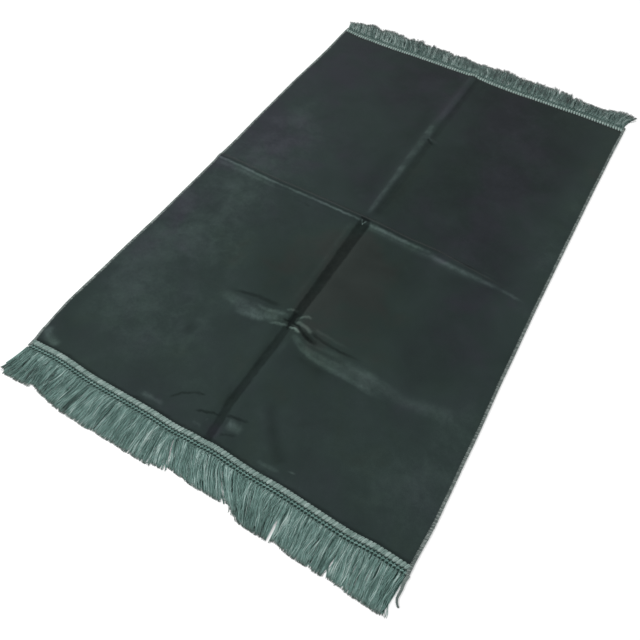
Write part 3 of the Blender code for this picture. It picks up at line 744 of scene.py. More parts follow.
def make_velour():
    material, tree, shader = new_material("dark green velour", 0.92, 0.12, 0.35, 0.10)
    spot = add(tree, "TexCoord").outputs["Object"]
    nap_and_painted_light = add(tree, "Attribute", attribute_name="nap_and_painted_light").outputs["Fac"]
    warmth = add(tree, "Attribute", attribute_name="warmth").outputs["Fac"]
    grain = add(tree, "TexNoise", {"Vector": spot, "Scale": 900.0, "Detail": 1.0}).outputs["Fac"]
    tint, hand, blot, small, fine = (
        add(tree, "Group", {"Vector": spot, "Scale": scale}, node_tree=patches).outputs[0]
        for scale in PATCH_SCALES)
    uneven = math_node(tree, "MULTIPLY_ADD", small, 0.34, 1.0)
    uneven = math_node(tree, "MULTIPLY_ADD", fine, 0.22, uneven)
    # nap moves the pile along its ramp: pressed pile, and painted highlights and painted shade of the folds
    level = math_node(tree, "MULTIPLY_ADD", math_node(tree, "MULTIPLY", nap_and_painted_light, uneven), 0.5, PLAIN_LEVEL)
    for source, share in ((hand, 0.032), (small, 0.016), (fine, 0.010), (grain, 0.05)):
        level = math_node(tree, "MULTIPLY_ADD", source, share, level)
    green = colour_ramp(tree, level, [(stop, paint(*shade)) for stop, shade in PILE_SHADES])
    hue = math_node(tree, "MULTIPLY_ADD", warmth, 0.50, PLAIN_HUE)
    for source, share in ((tint, 0.16), (blot, 0.20)):
        hue = math_node(tree, "MULTIPLY_ADD", source, share, hue)
    shift = colour_ramp(tree, hue, [(stop, (*filter_colour, 1.0)) for stop, filter_colour in HUE_FILTERS])
    brighter = blend_colours(tree, 1.0, green, (FILTER_LOSS, FILTER_LOSS, FILTER_LOSS, 1.0), "MULTIPLY")
    tree.links.new(blend_colours(tree, 1.0, brighter, shift, "MULTIPLY"), shader["Base Color"])
    combed = add(tree, "Mapping", {"Vector": spot, "Scale": (1.0, 0.45, 1.0)}).outputs[0]
    fibres = add(tree, "TexNoise", {"Vector": combed, "Scale": 1300.0, "Detail": 2.0}).outputs["Fac"]
    bump = add(tree, "Bump", {"Height": fibres, "Strength": 0.35, "Distance": 0.0006})
    tree.links.new(bump.outputs[0], shader["Normal"])
    return material


def make_backing():
    material, tree, shader = new_material("woven back", 0.85, 0.05, 0.5, 0.3)
    apart = add(tree, "SeparateXYZ", {0: add(tree, "TexCoord").outputs["Object"]})
    ribs = []
    for axis in (0, 1):
        wave = math_node(tree, "MULTIPLY", apart.outputs[axis], 2.0 * math.pi / WEAVE_PITCH)
        ribs.append(math_node(tree, "ABSOLUTE", math_node(tree, "SINE", wave)))
    weave = math_node(tree, "MAXIMUM", *ribs)
    colour = colour_ramp(tree, weave, [(0.0, paint(34, 44, 42)), (1.0, paint(74, 88, 84))])
    tree.links.new(colour, shader["Base Color"])
    bump = add(tree, "Bump", {"Height": weave, "Strength": 0.6, "Distance": 0.0004})
    tree.links.new(bump.outputs[0], shader["Normal"])
    return material


cloth = show(make_cloth(), [make_velour(), make_backing()], "velour", "rug_cloth")

# %% [markdown]
# ## Overlocked sides
# Thread is wrapped over each raw side of the cloth and locked into a narrow roll. A plain rod
# would look like piping, so each wrap is its own flattened ring: slanted, a little uneven, and
# close to the next. Three thicker lines fill the roll under them and show between wraps; their
# darker tone is painted shade there. The roll reaches in over the rim of the pile and presses it down.

# %% Overlocked sides
WRAP_PITCH = 0.0019
WRAP_RADIUS = 0.00050
WRAP_POINTS = 12
WRAP_REACH = 0.0070  # how far the thread reaches in over the pile
WRAP_SLANT = 0.00070
CORE_LINES = ((0.0015, 0.0016), (0.0033, 0.0017), (0.0050, 0.0016))  # in from the side, and height
CORE_POINTS = 260
CORE_RADIUS = 0.00105
CORE_TONE = 0.3


def make_serging(name, side_u, seed):
    uneven = np.random.default_rng(seed)
    inwards = math.copysign(1.0, WIDTH / 2.0 - side_u)
    count = round((LENGTH + 2.0 * SERGING_OVERRUN) / WRAP_PITCH)
    v = np.linspace(-SERGING_OVERRUN, LENGTH + SERGING_OVERRUN, count)
    centre = on_cloth(side_u + inwards * 0.5 * WRAP_REACH, v, SERGING_RADIUS)
    turn = 2.0 * np.pi * np.arange(WRAP_POINTS) / WRAP_POINTS
    across = np.cos(turn)
    upward = np.sign(np.sin(turn)) * np.abs(np.sin(turn)) ** 0.75
    stretch = 1.0 + uneven.uniform(-0.09, 0.05, (count, 1))
    wraps = np.empty((count, WRAP_POINTS, 3))
    wraps[..., 0] = centre[:, None, 0] + (0.5 * WRAP_REACH - WRAP_RADIUS) * stretch * across
    wraps[..., 1] = centre[:, None, 1] + WRAP_SLANT * across + uneven.normal(0.0, 0.00014, (count, 1))
    wraps[..., 2] = centre[:, None, 2] + (SERGING_RADIUS - WRAP_RADIUS) * upward
    tone = uneven.uniform(0.42, 1.15, count)
    rings = spin_threads(name, wraps, WRAP_RADIUS, sides=4, up=(0.0, 1.0, 0.0), tone=tone, closed=True)
    run = np.linspace(-SERGING_OVERRUN, LENGTH + SERGING_OVERRUN, CORE_POINTS)
    lines = [on_cloth(side_u + inwards * inset, run, height) for inset, height in CORE_LINES]
    core = spin_threads("core", lines, CORE_RADIUS, sides=6, tone=np.full(len(lines), CORE_TONE))
    return join(name, [rings, core])


serging_left = show(
    make_serging("overlock_wraps_left", 0.0, seed=21),
    [overlock], "overlock_thread", "side_serging_left")
serging_right = show(
    make_serging("overlock_wraps_right", WIDTH, seed=22),
    [overlock], "overlock_thread", "side_serging_right")

# %% [markdown]
# ## Headings
# A heading is a flat braid, whipped over with yarn so that it has slanted ribs. Each rib is five
# yarns at the near end and three at the far end: they climb from the pile side, cross the braid and
# go down on the fringe side. Beneath them is the braid's own body, a long bar cut across so that it
# follows the folds; it shows in the grooves between ribs, where its darker tone is painted shade.

# %% Ribbed headings
RIB_PITCH = 0.0059
RIB_YARN_RADIUS = 0.00062
RIB_TOP = 0.0036
RIB_CLIMB = np.array((0.0, 0.06, 0.20, 0.40, 0.62, 0.82, 0.95, 1.0))  # shares of the way across
RIB_HEIGHT = np.array((0.05, 0.70, 0.95, 1.0, 0.98, 0.88, 0.55, 0.05))  # and of the top, there
BODY_HEIGHT = 0.0026
EDGE_ROOM = 0.0005  # distance between the last yarns and the sides of the pile
BAR_COLUMNS = 240
RIB_SPAN = WIDTH - 2.0 * PILE_START
RIBS = round(RIB_SPAN / RIB_PITCH)
# of each heading: yarns in a rib and their spacing; slant, how far a rib's outer end lies to the
# left of its inner end; inner and outer, how far the ribs reach over the pile and over the band;
# lightness of the ribs, and of the grooves between them, where the darker tone is painted shade
NEAR_RIBS = dict(yarns=5, spacing=0.00110, slant=0.0038, inner=0.0010, outer=0.0006,
                 lightness=0.82, painted_groove_shade=0.34)
FAR_RIBS = dict(yarns=3, spacing=0.00092, slant=0.0022, inner=0.0048, outer=0.0022,
                lightness=1.08, painted_groove_shade=0.20)

braid = thread_material(
    "heading braid", ((28, 46, 41), (74, 97, 91), (112, 134, 128), (150, 168, 163)),
    turns=330.0, roughness=0.60, sheen=0.12, fibre_depth=0.00025)
# The dark tape's colour is painted shade: it lies under the band's threads and the yarns' roots.
shadow_tape = thread_material(
    "dark tape", ((10, 24, 21), (18, 36, 32), (26, 46, 41), (38, 60, 55)),
    turns=200.0, roughness=0.85, sheen=0.05, fibre_depth=0.0002)


def make_bar(name, from_v, to_v, high, shade):
    """Closed bar across the rug, from its underside up to high."""
    bm = bmesh.new()
    bmesh.ops.create_cube(bm, size=1.0)
    long_edges = [edge for edge in bm.edges if abs(edge.verts[0].co.x - edge.verts[1].co.x) > 0.5]
    bmesh.ops.subdivide_edges(bm, edges=long_edges, cuts=BAR_COLUMNS - 1, use_grid_fill=True)
    mesh = bpy.data.meshes.new(name)
    bm.to_mesh(mesh)
    bm.free()
    flat = np.array([vertex.co for vertex in mesh.vertices], float)
    u = PILE_START + RIB_SPAN * (flat[:, 0] + 0.5)
    v = np.where(flat[:, 1] > 0.0, max(from_v, to_v), min(from_v, to_v))
    points = on_cloth(u, v, np.where(flat[:, 2] > 0.0, high, 0.0))
    mesh.vertices.foreach_set("co", points.astype(np.float32).ravel())
    paint_points(mesh, "tone", np.full(len(flat), shade))
    mesh.update()
    return bpy.data.objects.new(name, mesh)


def rib_middles():
    return PILE_START + RIB_SPAN / RIBS * (np.arange(RIBS) + 0.5)


def keep_between_sides(u, room=EDGE_ROOM):
    return np.clip(u, PILE_START + room, WIDTH - PILE_START - room)


def make_heading(name, end_v, outwards, seed, yarns, spacing, slant, inner, outer, lightness, painted_groove_shade):
    uneven = np.random.default_rng(seed)
    lane = np.tile(np.linspace(-1.0, 1.0, yarns), RIBS)  # -1 and 1 are the outermost yarns of a rib
    middle = np.repeat(rib_middles(), yarns) + np.repeat(uneven.normal(0.0, 0.00025, RIBS), yarns)
    drop = 1.0 - 0.12 * lane ** 2
    aside = lane * 0.5 * (yarns - 1) * spacing
    leaf = 0.55 + 0.45 * np.sin(np.pi * RIB_CLIMB)  # the yarns of a rib draw together at its ends
    u = keep_between_sides(middle[:, None] + aside[:, None] * leaf - slant * RIB_CLIMB)
    v = end_v + outwards * (GAP - inner + (HEADING_WIDTH + inner + outer) * RIB_CLIMB)
    z = RIB_YARN_RADIUS + (RIB_TOP - 2.0 * RIB_YARN_RADIUS) * RIB_HEIGHT * drop[:, None]
    tone = np.clip(lightness + 0.10 * np.repeat(uneven.standard_normal(RIBS), yarns)
                   + 0.16 * uneven.standard_normal(len(lane)), 0.15, 1.3)
    whipping = spin_threads(name, on_cloth(u, v, z), RIB_YARN_RADIUS, sides=5, tone=tone)
    body = make_bar("body", end_v + outwards * (GAP + 0.0002), end_v + outwards * HEADING_WIDTH,
                    BODY_HEIGHT, painted_groove_shade)
    return join(name, [whipping, body])


heading_near = show(
    make_heading("ribbed_heading_near", 0.0, -1.0, seed=31, **NEAR_RIBS),
    [braid], "heading_braid", "heading_near")
heading_far = show(
    make_heading("ribbed_heading_far", LENGTH, 1.0, seed=32, **FAR_RIBS),
    [braid], "heading_braid", "heading_far")

# %% [markdown]
# ## Fringe
# The fringe hangs from a stitched band. From the band's outer side come the cut yarns, thousands of
# them, under a millimetre thick. They gather in tufts, tufts gather in locks, and the locks lean,
# part and end unevenly; the rows below hold where each lock's roots and tips lie. A particle system
# could fill it, but then the tufts could not be placed, so each yarn's path is worked out from its
# lock.

# %% Locks of the fringe
# of each lock: its roots from and to, its tips from and to, its reach at the left and at the right
NEAR_LOCKS = metres((
    (1.8, 10, -5, 4, 45.5, 59), (10, 52, 4, 54.5, 59.8, 59.4), (52, 98, 54.8, 92.5, 53.4, 58.9),
    (98, 140, 92.8, 134.5, 59.1, 62.1), (140, 185, 135, 183, 61.4, 64.2),
    (185, 262, 183.3, 269, 61.7, 61.9), (262, 287.5, 269.3, 296, 62.1, 59.4),
    (287.5, 305, 297.5, 324.5, 56.9, 54.4), (305, 350, 326.8, 379, 48.4, 54.4),
    (350, 392, 379, 424.5, 54.4, 53.4), (392, 430, 428.5, 460, 46.4, 60.9),
    (430, 465, 460, 485, 62.4, 63.1), (465, 505, 485, 509, 63.4, 63.4), (505, 540, 512.5, 545, 59.4, 61.7),
    (540, 600, 545, 600, 62.1, 59.9), (600, 640, 604.5, 645, 57.9, 64.2),
    (640, 695.5, 645, 690.5, 64.2, 63.4),
))
FAR_LOCKS = metres((
    (2, 29.5, -3.2, 17.5, 25.5, 40.5), (29.5, 47.5, 17.5, 33.5, 43, 41.5), (47.5, 63, 33.5, 47.5, 46.5, 53),
    (63, 72, 47.5, 56, 53, 48), (72, 97, 56, 80, 51.5, 46.5), (97, 113.5, 80, 96, 49.5, 54),
    (113.5, 125, 96, 107, 54, 48.5), (125, 172.5, 107, 153, 54, 47), (172.5, 199.5, 153, 184.5, 49, 56),
    (199.5, 221, 184.5, 208, 50, 44), (221, 260.5, 209.5, 250, 50.5, 51), (260.5, 278, 250, 270, 49, 41.5),
    (278, 305.5, 270, 296, 41.5, 50), (305.5, 336, 296, 325, 48, 44.5), (336, 353, 325, 342, 47, 43),
    (353, 385, 342, 377, 48.5, 48.5), (385, 394, 377, 387, 52.5, 49), (394, 428, 387, 425, 51.5, 58.5),
    (428, 464, 425, 460, 55, 48), (464, 480.5, 460, 477, 50.5, 50.5), (480.5, 537.5, 477, 532.5, 51, 54),
    (537.5, 561, 536.5, 560, 53, 49), (561, 571, 560, 570, 48, 39.5), (571, 585, 570, 585, 45, 38.5),
    (585, 605.5, 585, 607, 44, 38.5), (605.5, 630.5, 607, 633, 44, 34.5), (630.5, 657.5, 633, 664, 41, 50),
    (657.5, 664, 664, 672, 43, 52), (664, 695.5, 672, 712, 54, 53),
))
# share of a yarn's length, height of the fringe's top there
NEAR_CROWN = ((0.0, 0.0022), (0.12, 0.0036), (0.32, 0.0044), (0.70, 0.0034), (1.0, 0.0016))
FAR_CROWN = ((0.0, 0.0022), (0.12, 0.0038), (0.32, 0.0050), (0.70, 0.0044), (1.0, 0.0024))

# %% Places where the fringe parts, and its painted glints and painted shade
# where the floor shows between yarns: first and last share; root side u, tip side u, half width
NEAR_PARTINGS = [(first, last, *metres(lengths)) for first, last, *lengths in (
    (0.86, 1.1, 287.5, 296.8, 1.8), (0.84, 1.1, 305, 325.8, 1.8), (0.86, 1.1, 392, 426.5, 2.8),
    (0.36, 1.1, 505, 510.8, 2.4), (0.8, 1.1, 600, 602.3, 2.6),
)]
FAR_PARTINGS = [(first, last, *metres(lengths)) for first, last, *lengths in (
    (0.84, 1.1, 221, 208.8, 2.2), (0.55, 1.1, 537.5, 534.5, 2.8),
)]
# a painted glint on a glossy wisp, or painted shade in a hollow: strength (below zero in a hollow), share,
# reach along; u, reach across
NEAR_GLINTS_AND_SHADE = [(*row[:3], *metres(row[3:])) for row in (
    (0.4, 0.4, 0.2, 68, 6), (0.7, 0.68, 0.15, 116, 4), (0.75, 0.74, 0.16, 144, 4), (0.2, 0.7, 0.14, 185, 6),
    (0.75, 0.45, 0.22, 272, 3), (0.45, 0.72, 0.18, 268, 4), (0.9, 0.56, 0.26, 298, 2.6),
    (0.7, 0.78, 0.25, 308, 3.6), (0.65, 0.62, 0.3, 324, 3), (0.55, 0.72, 0.18, 415, 3),
    (0.3, 0.6, 0.2, 445, 5), (0.9, 0.55, 0.4, 518, 3.5), (0.75, 0.8, 0.25, 511, 3),
    (0.25, 0.55, 0.2, 556, 6), (0.8, 0.75, 0.2, 606, 3), (0.5, 0.7, 0.2, 626, 4), (-0.4, 0.7, 0.4, 2, 5),
    (-0.25, 0.55, 0.5, 23, 3), (-0.5, 0.62, 0.3, 46, 4.5), (-0.6, 0.62, 0.22, 80, 5.5),
    (-0.35, 0.45, 0.1, 110, 6), (-0.6, 0.75, 0.28, 134, 3), (-0.35, 0.55, 0.3, 188, 3),
    (-0.4, 0.7, 0.22, 212, 5), (-0.35, 0.8, 0.25, 233, 4), (-0.4, 0.5, 0.3, 262, 2.5),
    (-0.5, 0.7, 0.3, 316, 2), (-0.35, 0.65, 0.3, 366, 3), (-0.35, 0.35, 0.18, 442, 6),
    (-0.4, 0.7, 0.25, 462, 3.5), (-0.4, 0.85, 0.2, 496, 3), (-0.5, 0.75, 0.25, 598, 3.5),
    (-0.3, 0.55, 0.35, 682, 8), (-0.25, 0.7, 0.3, 664, 3), (-0.5, 0.85, 0.45, 55, 60),
    (-0.42, 0.8, 0.3, 480, 60), (0.22, 0.35, 0.3, 620, 50),
)]
FAR_GLINTS_AND_SHADE = [(*row[:3], *metres(row[3:])) for row in (
    (0.4, 0.5, 0.4, 22, 5), (0.25, 0.6, 0.3, 260, 5), (0.85, 0.75, 0.3, 520, 8), (0.3, 0.8, 0.3, 485, 6),
    (0.55, 0.8, 0.3, 670, 6), (0.25, 0.8, 0.3, 645, 6), (-0.35, 0.7, 0.3, 80, 6), (-0.35, 0.7, 0.3, 180, 6),
    (-0.45, 0.6, 0.22, 330, 12), (-0.3, 0.7, 0.25, 390, 10), (-0.3, 0.65, 0.3, 450, 8),
    (-0.3, 0.45, 0.2, 500, 8), (-0.35, 0.6, 0.3, 560, 6), (-0.35, 0.6, 0.3, 620, 6),
    (-0.35, 0.45, 0.25, 660, 6), (-0.34, 0.5, 0.3, 330, 80), (-0.36, 0.5, 0.32, 460, 80),
    (-0.4, 0.5, 0.32, 610, 90), (0.25, 0.45, 0.3, 235, 12), (0.25, 0.85, 0.25, 545, 8),
    (0.35, 0.8, 0.3, 45, 5),
)]

# %% Tufts and their yarns
TUFT_WIDTHS = (0.0032, 0.0110)
ROOT_LOSS = 0.0022  # the locks' reaches are counted from the band; the yarns start this much further out
ROOT_DEPTH = HEADING_WIDTH + 2.0 * GAP + BAND_WIDTH + ROOT_LOSS  # from the cloth's end
YARN_PITCH = 0.00086
YARN_RADIUS = 0.00037
YARN_LAYERS = 3
YARN_SHARES = np.array((-0.01, 0.07, 0.16, 0.26, 0.37, 0.48, 0.59, 0.70, 0.80, 0.90, 1.0))
YARN_LEAN = 1.4  # a yarn leaves the band straight and leans more towards its tip
YARN_TONE = 0.60
GATHERED = 0.28  # how far the roots of one rib's yarns draw together
PINCH_REACH = 0.20
STRAYS = 0.42  # share of the yarns that cross over others
STRAY_SPREAD = 0.0044
BED_PITCH = 0.00130
BED_RADIUS = 0.00080
BED_SHARES = np.array((-0.01, 0.22, 0.48, 0.75, 1.0))


def make_tufts(locks, uneven, ragged, streaks):
    """A row a tuft: root, half width, tip, spread, reach, height, bow, sway, shade, pinch, where, phase."""
    tufts = []
    for root_from, root_to, tip_from, tip_to, reach_from, reach_to in locks:
        widths = [uneven.uniform(*TUFT_WIDTHS)]
        while sum(widths) < root_to - root_from:
            widths.append(uneven.uniform(*TUFT_WIDTHS))
        cuts = np.concatenate([[0.0], np.cumsum(widths)]) / sum(widths)
        for low, high in zip(cuts, cuts[1:]):
            share = 0.5 * (low + high)
            root = root_from + (root_to - root_from) * share
            slow = math.sin(61.0 * root + 0.8) + 0.6 * math.sin(149.0 * root + 2.1)
            tip = tip_from + (tip_to - tip_from) * share + uneven.normal(0.0, 0.0010)
            spread = (tip_to - tip_from) / (root_to - root_from) * uneven.uniform(1.00, 1.30)
            cut = 1.0 + min(uneven.normal(0.0, ragged), ragged)
            reach = (reach_from + (reach_to - reach_from) * share) * cut * (1.0 + 0.7 * ragged) - ROOT_LOSS
            tufts.append((
                root, 0.5 * (high - low) * (root_to - root_from), tip, spread, reach,
                uneven.uniform(0.72, 1.12), 0.0012 * slow + uneven.normal(0.0, 0.0012),
                uneven.normal(0.0, 0.0010), uneven.normal(0.0, 0.04 + 0.4 * streaks),
                uneven.uniform(0.00, 0.26), uneven.uniform(0.30, 0.90), uneven.uniform(0.0, 2.0 * math.pi)))
    return np.array(tufts)


def part_yarns(x, share, partings, side):
    """Push the yarns' paths sideways, away from the places where the fringe parts."""
    for first, last, root_u, tip_u, half in partings:
        line = root_u + (tip_u - root_u) * np.clip(share, 0.0, 1.0) - MIDDLE_U
        opening = half * smooth((share - first) / (0.40 * (1.0 - first) + 0.02)) * (share < last)
        away = x - line
        pushed = np.sign(side - (root_u - MIDDLE_U))[:, None] * opening
        room = np.maximum(2.2 * opening, 1e-6)
        outside = np.sign(pushed) * away / room  # below zero when the yarn strayed over the parting
        push = np.where(outside < 0.0, np.abs(pushed) + np.abs(away), np.abs(pushed) * (1.0 - outside))
        x = np.where((np.abs(away) < room) & (opening > 0.0), x + np.sign(pushed) * push, x)
    return x


def lock_lines(root_u, locks):
    """Tip place and reach of a yarn that keeps its even place in its lock."""
    rows = np.array(locks)
    low = np.clip(np.searchsorted(rows[:, 0], root_u, side="right") - 1, 0, len(rows) - 1)
    within = (root_u - rows[low, 0]) / (rows[low, 1] - rows[low, 0])
    return (rows[low, 2] + (rows[low, 3] - rows[low, 2]) * within,
            rows[low, 4] + (rows[low, 5] - rows[low, 4]) * within - ROOT_LOSS)


def yarn_roots(start, stop, pitch, layers, uneven):
    per_layer = round((stop - start) / pitch)
    even = start + (stop - start) * (np.arange(per_layer) + 0.5) / per_layer
    moved = np.tile(even, layers) + uneven.uniform(-0.5, 0.5, per_layer * layers) * pitch
    return np.clip(moved, start, stop), np.repeat(np.arange(layers), per_layer)


def make_bed(end_v, outwards, locks, partings, uneven):
    """The lowest and thickest yarns, an even bed that the tufts lie on, darker as painted shade under them.
    """
    root_u, _ = yarn_roots(locks[0][0], locks[-1][1], BED_PITCH, 1, uneven)
    tip_u, reach = lock_lines(root_u, locks)
    root_v = end_v + outwards * ROOT_DEPTH
    root_x, root_y = place(root_u, root_v)
    along = np.clip(BED_SHARES[None], 0.0, 1.0)
    x = root_x[:, None] + (tip_u - root_u)[:, None] * along ** YARN_LEAN
    x = part_yarns(x, BED_SHARES[None], partings, root_x)
    reach = reach * uneven.uniform(0.86, 0.97, len(root_u))
    y = root_y[:, None] + outwards * reach[:, None] * BED_SHARES[None]
    z = BED_RADIUS + lift(root_u, root_v)[:, None] * (1.0 - smooth(1.8 * along))
    return spin_threads("bed", np.stack([x, y, z], -1), BED_RADIUS, sides=3,
                        tone=0.34 + 0.20 * uneven.random(len(root_u)), tip=np.zeros(len(root_u)))


def make_yarns(name, end_v, outwards, seed, locks, crown, partings, wisps, worn_from, ragged, streaks):
    """All yarns of one fringe: their paths across and along, their heights, then their tones."""
    uneven = np.random.default_rng(seed)
    tufts = make_tufts(locks, uneven, ragged, streaks)
    root_u, layer = yarn_roots(locks[0][0], locks[-1][1], YARN_PITCH, YARN_LAYERS, uneven)
    count = len(root_u)
    starts = tufts[:, 0] - tufts[:, 1]
    tuft = tufts[np.clip(np.searchsorted(starts, root_u, side="right") - 1, 0, len(tufts) - 1)]
    middle, half, tip_middle, spread, tuft_reach, tall, bow, sway = tuft.T[:8]
    shade, pinched, pinch_at, tuft_phase = tuft.T[8:]
    inside = np.clip((root_u - middle) / half, -1.0, 1.0)

    # path: from its root a yarn follows its tuft to the tip, with ripples and strays of its own
    share = YARN_SHARES[None]
    along = np.clip(share, 0.0, 1.0)
    tip_u = tip_middle + inside * half * spread + uneven.normal(0.0, 0.0016, count)
    shortened = np.abs(uneven.normal(0.0, 1.6 * ragged, count))
    reach = tuft_reach * (1.0 - 0.03 * inside ** 2) * (1.0 - shortened)
    bundle = (np.floor(root_u / RIB_PITCH) + 0.5) * RIB_PITCH
    gathered = (bundle - root_u)[:, None] * GATHERED * (1.0 - smooth((along - 0.02) / 0.16))
    pinch = np.exp(-((share - pinch_at[:, None]) / PINCH_REACH) ** 2) * pinched[:, None]
    bends = bow[:, None] * np.sin(np.pi * along) + sway[:, None] * np.sin(2.0 * np.pi * along)
    phase = uneven.uniform(0.0, 2.0 * np.pi, (count, 1))
    waves = uneven.uniform(0.6, 3.6, (count, 1))
    ripple = np.abs(uneven.normal(0.00060, 0.00045, (count, 1)))
    ripple = ripple * np.sin(2.0 * np.pi * waves * share + phase)
    stray = uneven.random(count) < STRAYS
    crossing = np.where(stray, uneven.normal(0.0, STRAY_SPREAD, count), 0.0)[:, None] * along ** 1.3
    root_v = np.full(count, end_v + outwards * ROOT_DEPTH)
    root_x, root_y = place(root_u, root_v)
    x = root_x[:, None] + (tip_u - root_u)[:, None] * along ** YARN_LEAN + gathered + bends + crossing
    x = x - (inside * half)[:, None] * pinch + ripple * smooth(5.0 * along)
    x = part_yarns(x, share, partings, root_x)
    y = root_y[:, None] + outwards * reach[:, None] * share

    # height: a tuft is highest in its middle, and the folds lift the roots
    shares, tops = np.array(crown).T
    top = np.interp(YARN_SHARES, shares, tops)[None] * tall[:, None] * (1.0 + 0.35 * pinch)
    top = top * (1.0 - 0.40 * inside[:, None] ** 2 * smooth(along / 0.3))
    level = np.clip((layer + uneven.uniform(-0.4, 0.4, count)) / (YARN_LAYERS - 1), 0.0, 1.0)[:, None]
    z = YARN_RADIUS + level * np.maximum(top - 2.0 * YARN_RADIUS, 0.0003)
    z = z + lift(root_u, root_v)[:, None] * (1.0 - smooth(1.8 * share))

    # tone: random from yarn to yarn, from tuft to tuft and in streaks of three yarns; painted light on the
    # upper layers and taller tufts, painted shade at a tuft's sides, painted light and shade along each
    # yarn as if it twisted, and glints and hollows
    tone = YARN_TONE + 0.14 * uneven.standard_normal(count) + shade
    tone = tone + 0.10 * level[:, 0] + 0.20 * (tall - 0.92) - 0.12 * np.abs(inside) ** 3
    tone = tone + streaks * uneven.standard_normal(count // 3 + 1)[np.arange(count) // 3]
    tone = np.clip(tone, 0.08, 0.98)[:, None] + 0.09 * np.sin(2.0 * np.pi * 2.1 * share + phase)
    tone = tone + 0.09 * np.sin(2.0 * np.pi * 1.3 * share + tuft_phase[:, None])
    for strength, mark_share, reach_along, mark_u, reach_across in wisps:
        near = (x + MIDDLE_U - mark_u) / reach_across
        far = (share - mark_share) / reach_along
        tone = tone + strength * np.exp(-near ** 2 - far ** 2) * (0.55 + 0.45 * np.sin(7.0 * phase))
    tip = smooth((share - worn_from) / (1.0 - worn_from)) * uneven.uniform(0.45, 1.0, (count, 1))
    radius = YARN_RADIUS * np.where(YARN_SHARES > 0.99, 0.70, 1.0)
    yarns = spin_threads(name, np.stack([x, y, z], -1), radius, sides=3, tone=tone, tip=tip)
    return join(name, [yarns, make_bed(end_v, outwards, locks, partings, uneven)])

# %% [markdown]
# The band between heading and yarns is made the same way as the heading: a dark tape, then threads
# laid over it. The tape's dark colour is painted shade under the threads and between the yarns' roots.
# Its chain stitch is a row of drawn loops, each a closed ring of thread that lies
# aslant and meets the next; on both sides of it, pairs of short stitches tie the band at every rib.

# %% Stitched band and fringe
LINK_POINTS = 10
LINK_LENGTH = 0.0026  # half the length of a drawn loop
LINK_WIDTH = 0.0006
LINK_SLOPE = -0.26
LINK_HEIGHT, LINK_RISE = 0.0020, 0.00035  # one end of a loop lies higher, over the last one
LINK_RADIUS = 0.00046
LINK_TONES = (0.37, 0.65)
CHAIN_SHARE = 0.67  # where the chain lies, as a share of the band's width
# two ties a rib: first and last share of the band's width, shift and slant along it, radius, tone
TIES = ((0.08, 0.50, 0.0010, -0.0018, 0.00036, 0.33), (0.84, 1.42, -0.0010, -0.0012, 0.00046, 0.21))
TIE_HEIGHTS = np.array((0.0012, 0.0019, 0.0021, 0.0017))
TIE_SPREAD = 0.00050
TIE_ROOM = 0.0006
BAND_LIGHTER = 0.16
TAPE_HEIGHT = 0.0010
TAPE_TONE = 0.65
TAPE_OVERRUN = 0.0070  # how far the tape goes on under the roots of the yarns


def make_band(name, inner, outwards, seed):
    uneven = np.random.default_rng(seed)
    middle = rib_middles()
    turn = 2.0 * np.pi * np.arange(LINK_POINTS) / LINK_POINTS
    long = LINK_LENGTH * np.cos(turn)
    wide = LINK_WIDTH * np.sin(turn)
    link_u = keep_between_sides(middle[:, None] + long + LINK_SLOPE * wide)
    link_v = inner + outwards * (CHAIN_SHARE * BAND_WIDTH + LINK_SLOPE * long) + wide
    link_z = LINK_HEIGHT + LINK_RISE * np.cos(turn)
    links = spin_threads(name, on_cloth(link_u, link_v, link_z), LINK_RADIUS, sides=5, closed=True,
                         tone=BAND_LIGHTER + uneven.uniform(*LINK_TONES, RIBS))
    ties = []
    points = len(TIE_HEIGHTS)
    for first, last, shift, slant, radius, lightness in TIES:
        lane = np.tile((-TIE_SPREAD, TIE_SPREAD), RIBS)
        tie_u = np.repeat(middle, 2)[:, None] + lane[:, None] + shift
        tie_u = keep_between_sides(tie_u + slant * np.linspace(0.0, 1.0, points), TIE_ROOM)
        tie_v = inner + outwards * np.linspace(first, last, points) * BAND_WIDTH
        tone = lightness + BAND_LIGHTER + uneven.uniform(-0.15, 0.15, 2 * RIBS)
        ties.append(spin_threads("ties", on_cloth(tie_u, tie_v, TIE_HEIGHTS), radius, sides=4, tone=tone))
    return join(name, [links] + ties)


def make_fringe(name, end_v, outwards, seed, **kind):
    inner = end_v + outwards * (HEADING_WIDTH + 2.0 * GAP)
    yarns = make_yarns(name, end_v, outwards, seed, **kind)
    band = make_band("band", inner, outwards, seed + 1)
    outer = inner + outwards * BAND_WIDTH
    tape = make_bar("tape", inner, outer + outwards * TAPE_OVERRUN, TAPE_HEIGHT, TAPE_TONE)
    for polygon in tape.data.polygons:
        polygon.material_index = 1
    return join(name, [yarns, band, tape])


near_yarn = thread_material(
    "near fringe yarn", ((24, 47, 43), (69, 101, 94), (113, 148, 141), (188, 209, 204)),
    turns=420.0, roughness=0.58, sheen=0.15, fibre_depth=0.0002, browner_tip=(66, 74, 68))
far_yarn = thread_material(
    "far fringe yarn", ((22, 40, 37), (60, 86, 81), (104, 131, 125), (180, 196, 191)),
    turns=420.0, roughness=0.58, sheen=0.15, fibre_depth=0.0002, browner_tip=(58, 57, 53))
fringe_near = show(
    make_fringe("yarn_fringe_near", 0.0, -1.0, seed=41, locks=NEAR_LOCKS, crown=NEAR_CROWN,
                partings=NEAR_PARTINGS, wisps=NEAR_GLINTS_AND_SHADE, worn_from=0.86, ragged=0.012, streaks=0.08),
    [near_yarn, shadow_tape], "fringe_yarn", "fringe_near")
fringe_far = show(
    make_fringe("yarn_fringe_far", LENGTH, 1.0, seed=51, locks=FAR_LOCKS, crown=FAR_CROWN,
                partings=FAR_PARTINGS, wisps=FAR_GLINTS_AND_SHADE, worn_from=0.70, ragged=0.075, streaks=0.22),
    [far_yarn, shadow_tape], "fringe_yarn", "fringe_far")

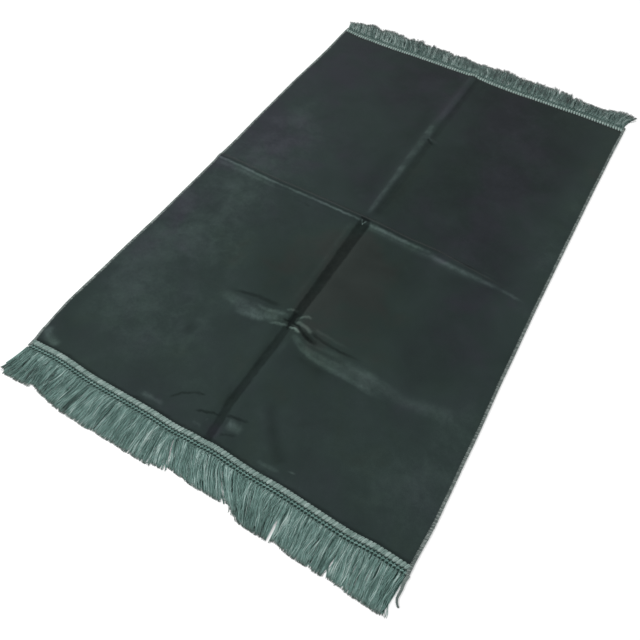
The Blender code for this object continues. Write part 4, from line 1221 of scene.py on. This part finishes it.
# %% [markdown]
# ## Floor and light
# The rug lies on a plain pale floor under soft studio light. One broad lamp on the left and near
# side is what draws the creases, and an even white surround fills the rest. The floor lets a
# camera underneath see the rug's back, and it is open under the middle of the cloth, where nothing
# shows from above, so that the surround lights the back as well.

# %% Floor
FLOOR_SIZE = 8.0
FLOOR_GAP = 0.0002
WINDOW = (0.342, 0.523)  # half sizes of the opening under the cloth

bm = bmesh.new()
bmesh.ops.create_grid(bm, x_segments=3, y_segments=3, size=FLOOR_SIZE / 2.0)
for vertex in bm.verts:
    for axis, half in enumerate(WINDOW):
        if abs(vertex.co[axis]) < 0.4 * FLOOR_SIZE:
            vertex.co[axis] = math.copysign(half, vertex.co[axis])
middle_face = min(bm.faces, key=lambda face: face.calc_center_median().length)
bmesh.ops.delete(bm, geom=[middle_face], context="FACES_ONLY")
floor_mesh = bpy.data.meshes.new("floor")
bm.to_mesh(floor_mesh)
bm.free()
floor = bpy.data.objects.new("floor", floor_mesh)
floor.location = (0.0, 0.0, -FLOOR_GAP)
floor_paint, tree, shader = new_material("pale floor", 0.9, specular=0.0)
shader["Base Color"].default_value = (0.92, 0.92, 0.92, 1.0)
see_through = add(tree, "BsdfTransparent")
below = add(tree, "NewGeometry").outputs["Backfacing"]
solid = tree.nodes["Principled BSDF"]
mixed = add(tree, "MixShader", {0: below, 1: solid.outputs[0], 2: see_through.outputs[0]})
tree.links.new(mixed.outputs[0], tree.nodes["Material Output"].inputs["Surface"])
floor_mesh.materials.append(floor_paint)
bpy.context.scene.collection.objects.link(floor)

# %% Light
WORLD_STRENGTH = 1.0
LAMP_PLACE = (-1.5, -0.9, 1.7)
LAMP_SIZE = 1.4
LAMP_POWER = 26.0

surround = bpy.data.worlds.new("studio")
surround.use_nodes = True
background = surround.node_tree.nodes["Background"].inputs
background["Color"].default_value = (1.0, 1.0, 1.0, 1.0)
background["Strength"].default_value = WORLD_STRENGTH
bpy.context.scene.world = surround
lamp_data = bpy.data.lights.new("softbox", "AREA")
lamp_data.energy = LAMP_POWER
lamp_data.size = LAMP_SIZE
lamp = bpy.data.objects.new("softbox", lamp_data)
lamp.location = LAMP_PLACE
towards = -lamp.location.normalized()
lamp.rotation_euler = towards.to_track_quat("-Z", "Y").to_euler()
bpy.context.scene.collection.objects.link(lamp)
bpy.context.scene.view_settings.view_transform = "Standard"
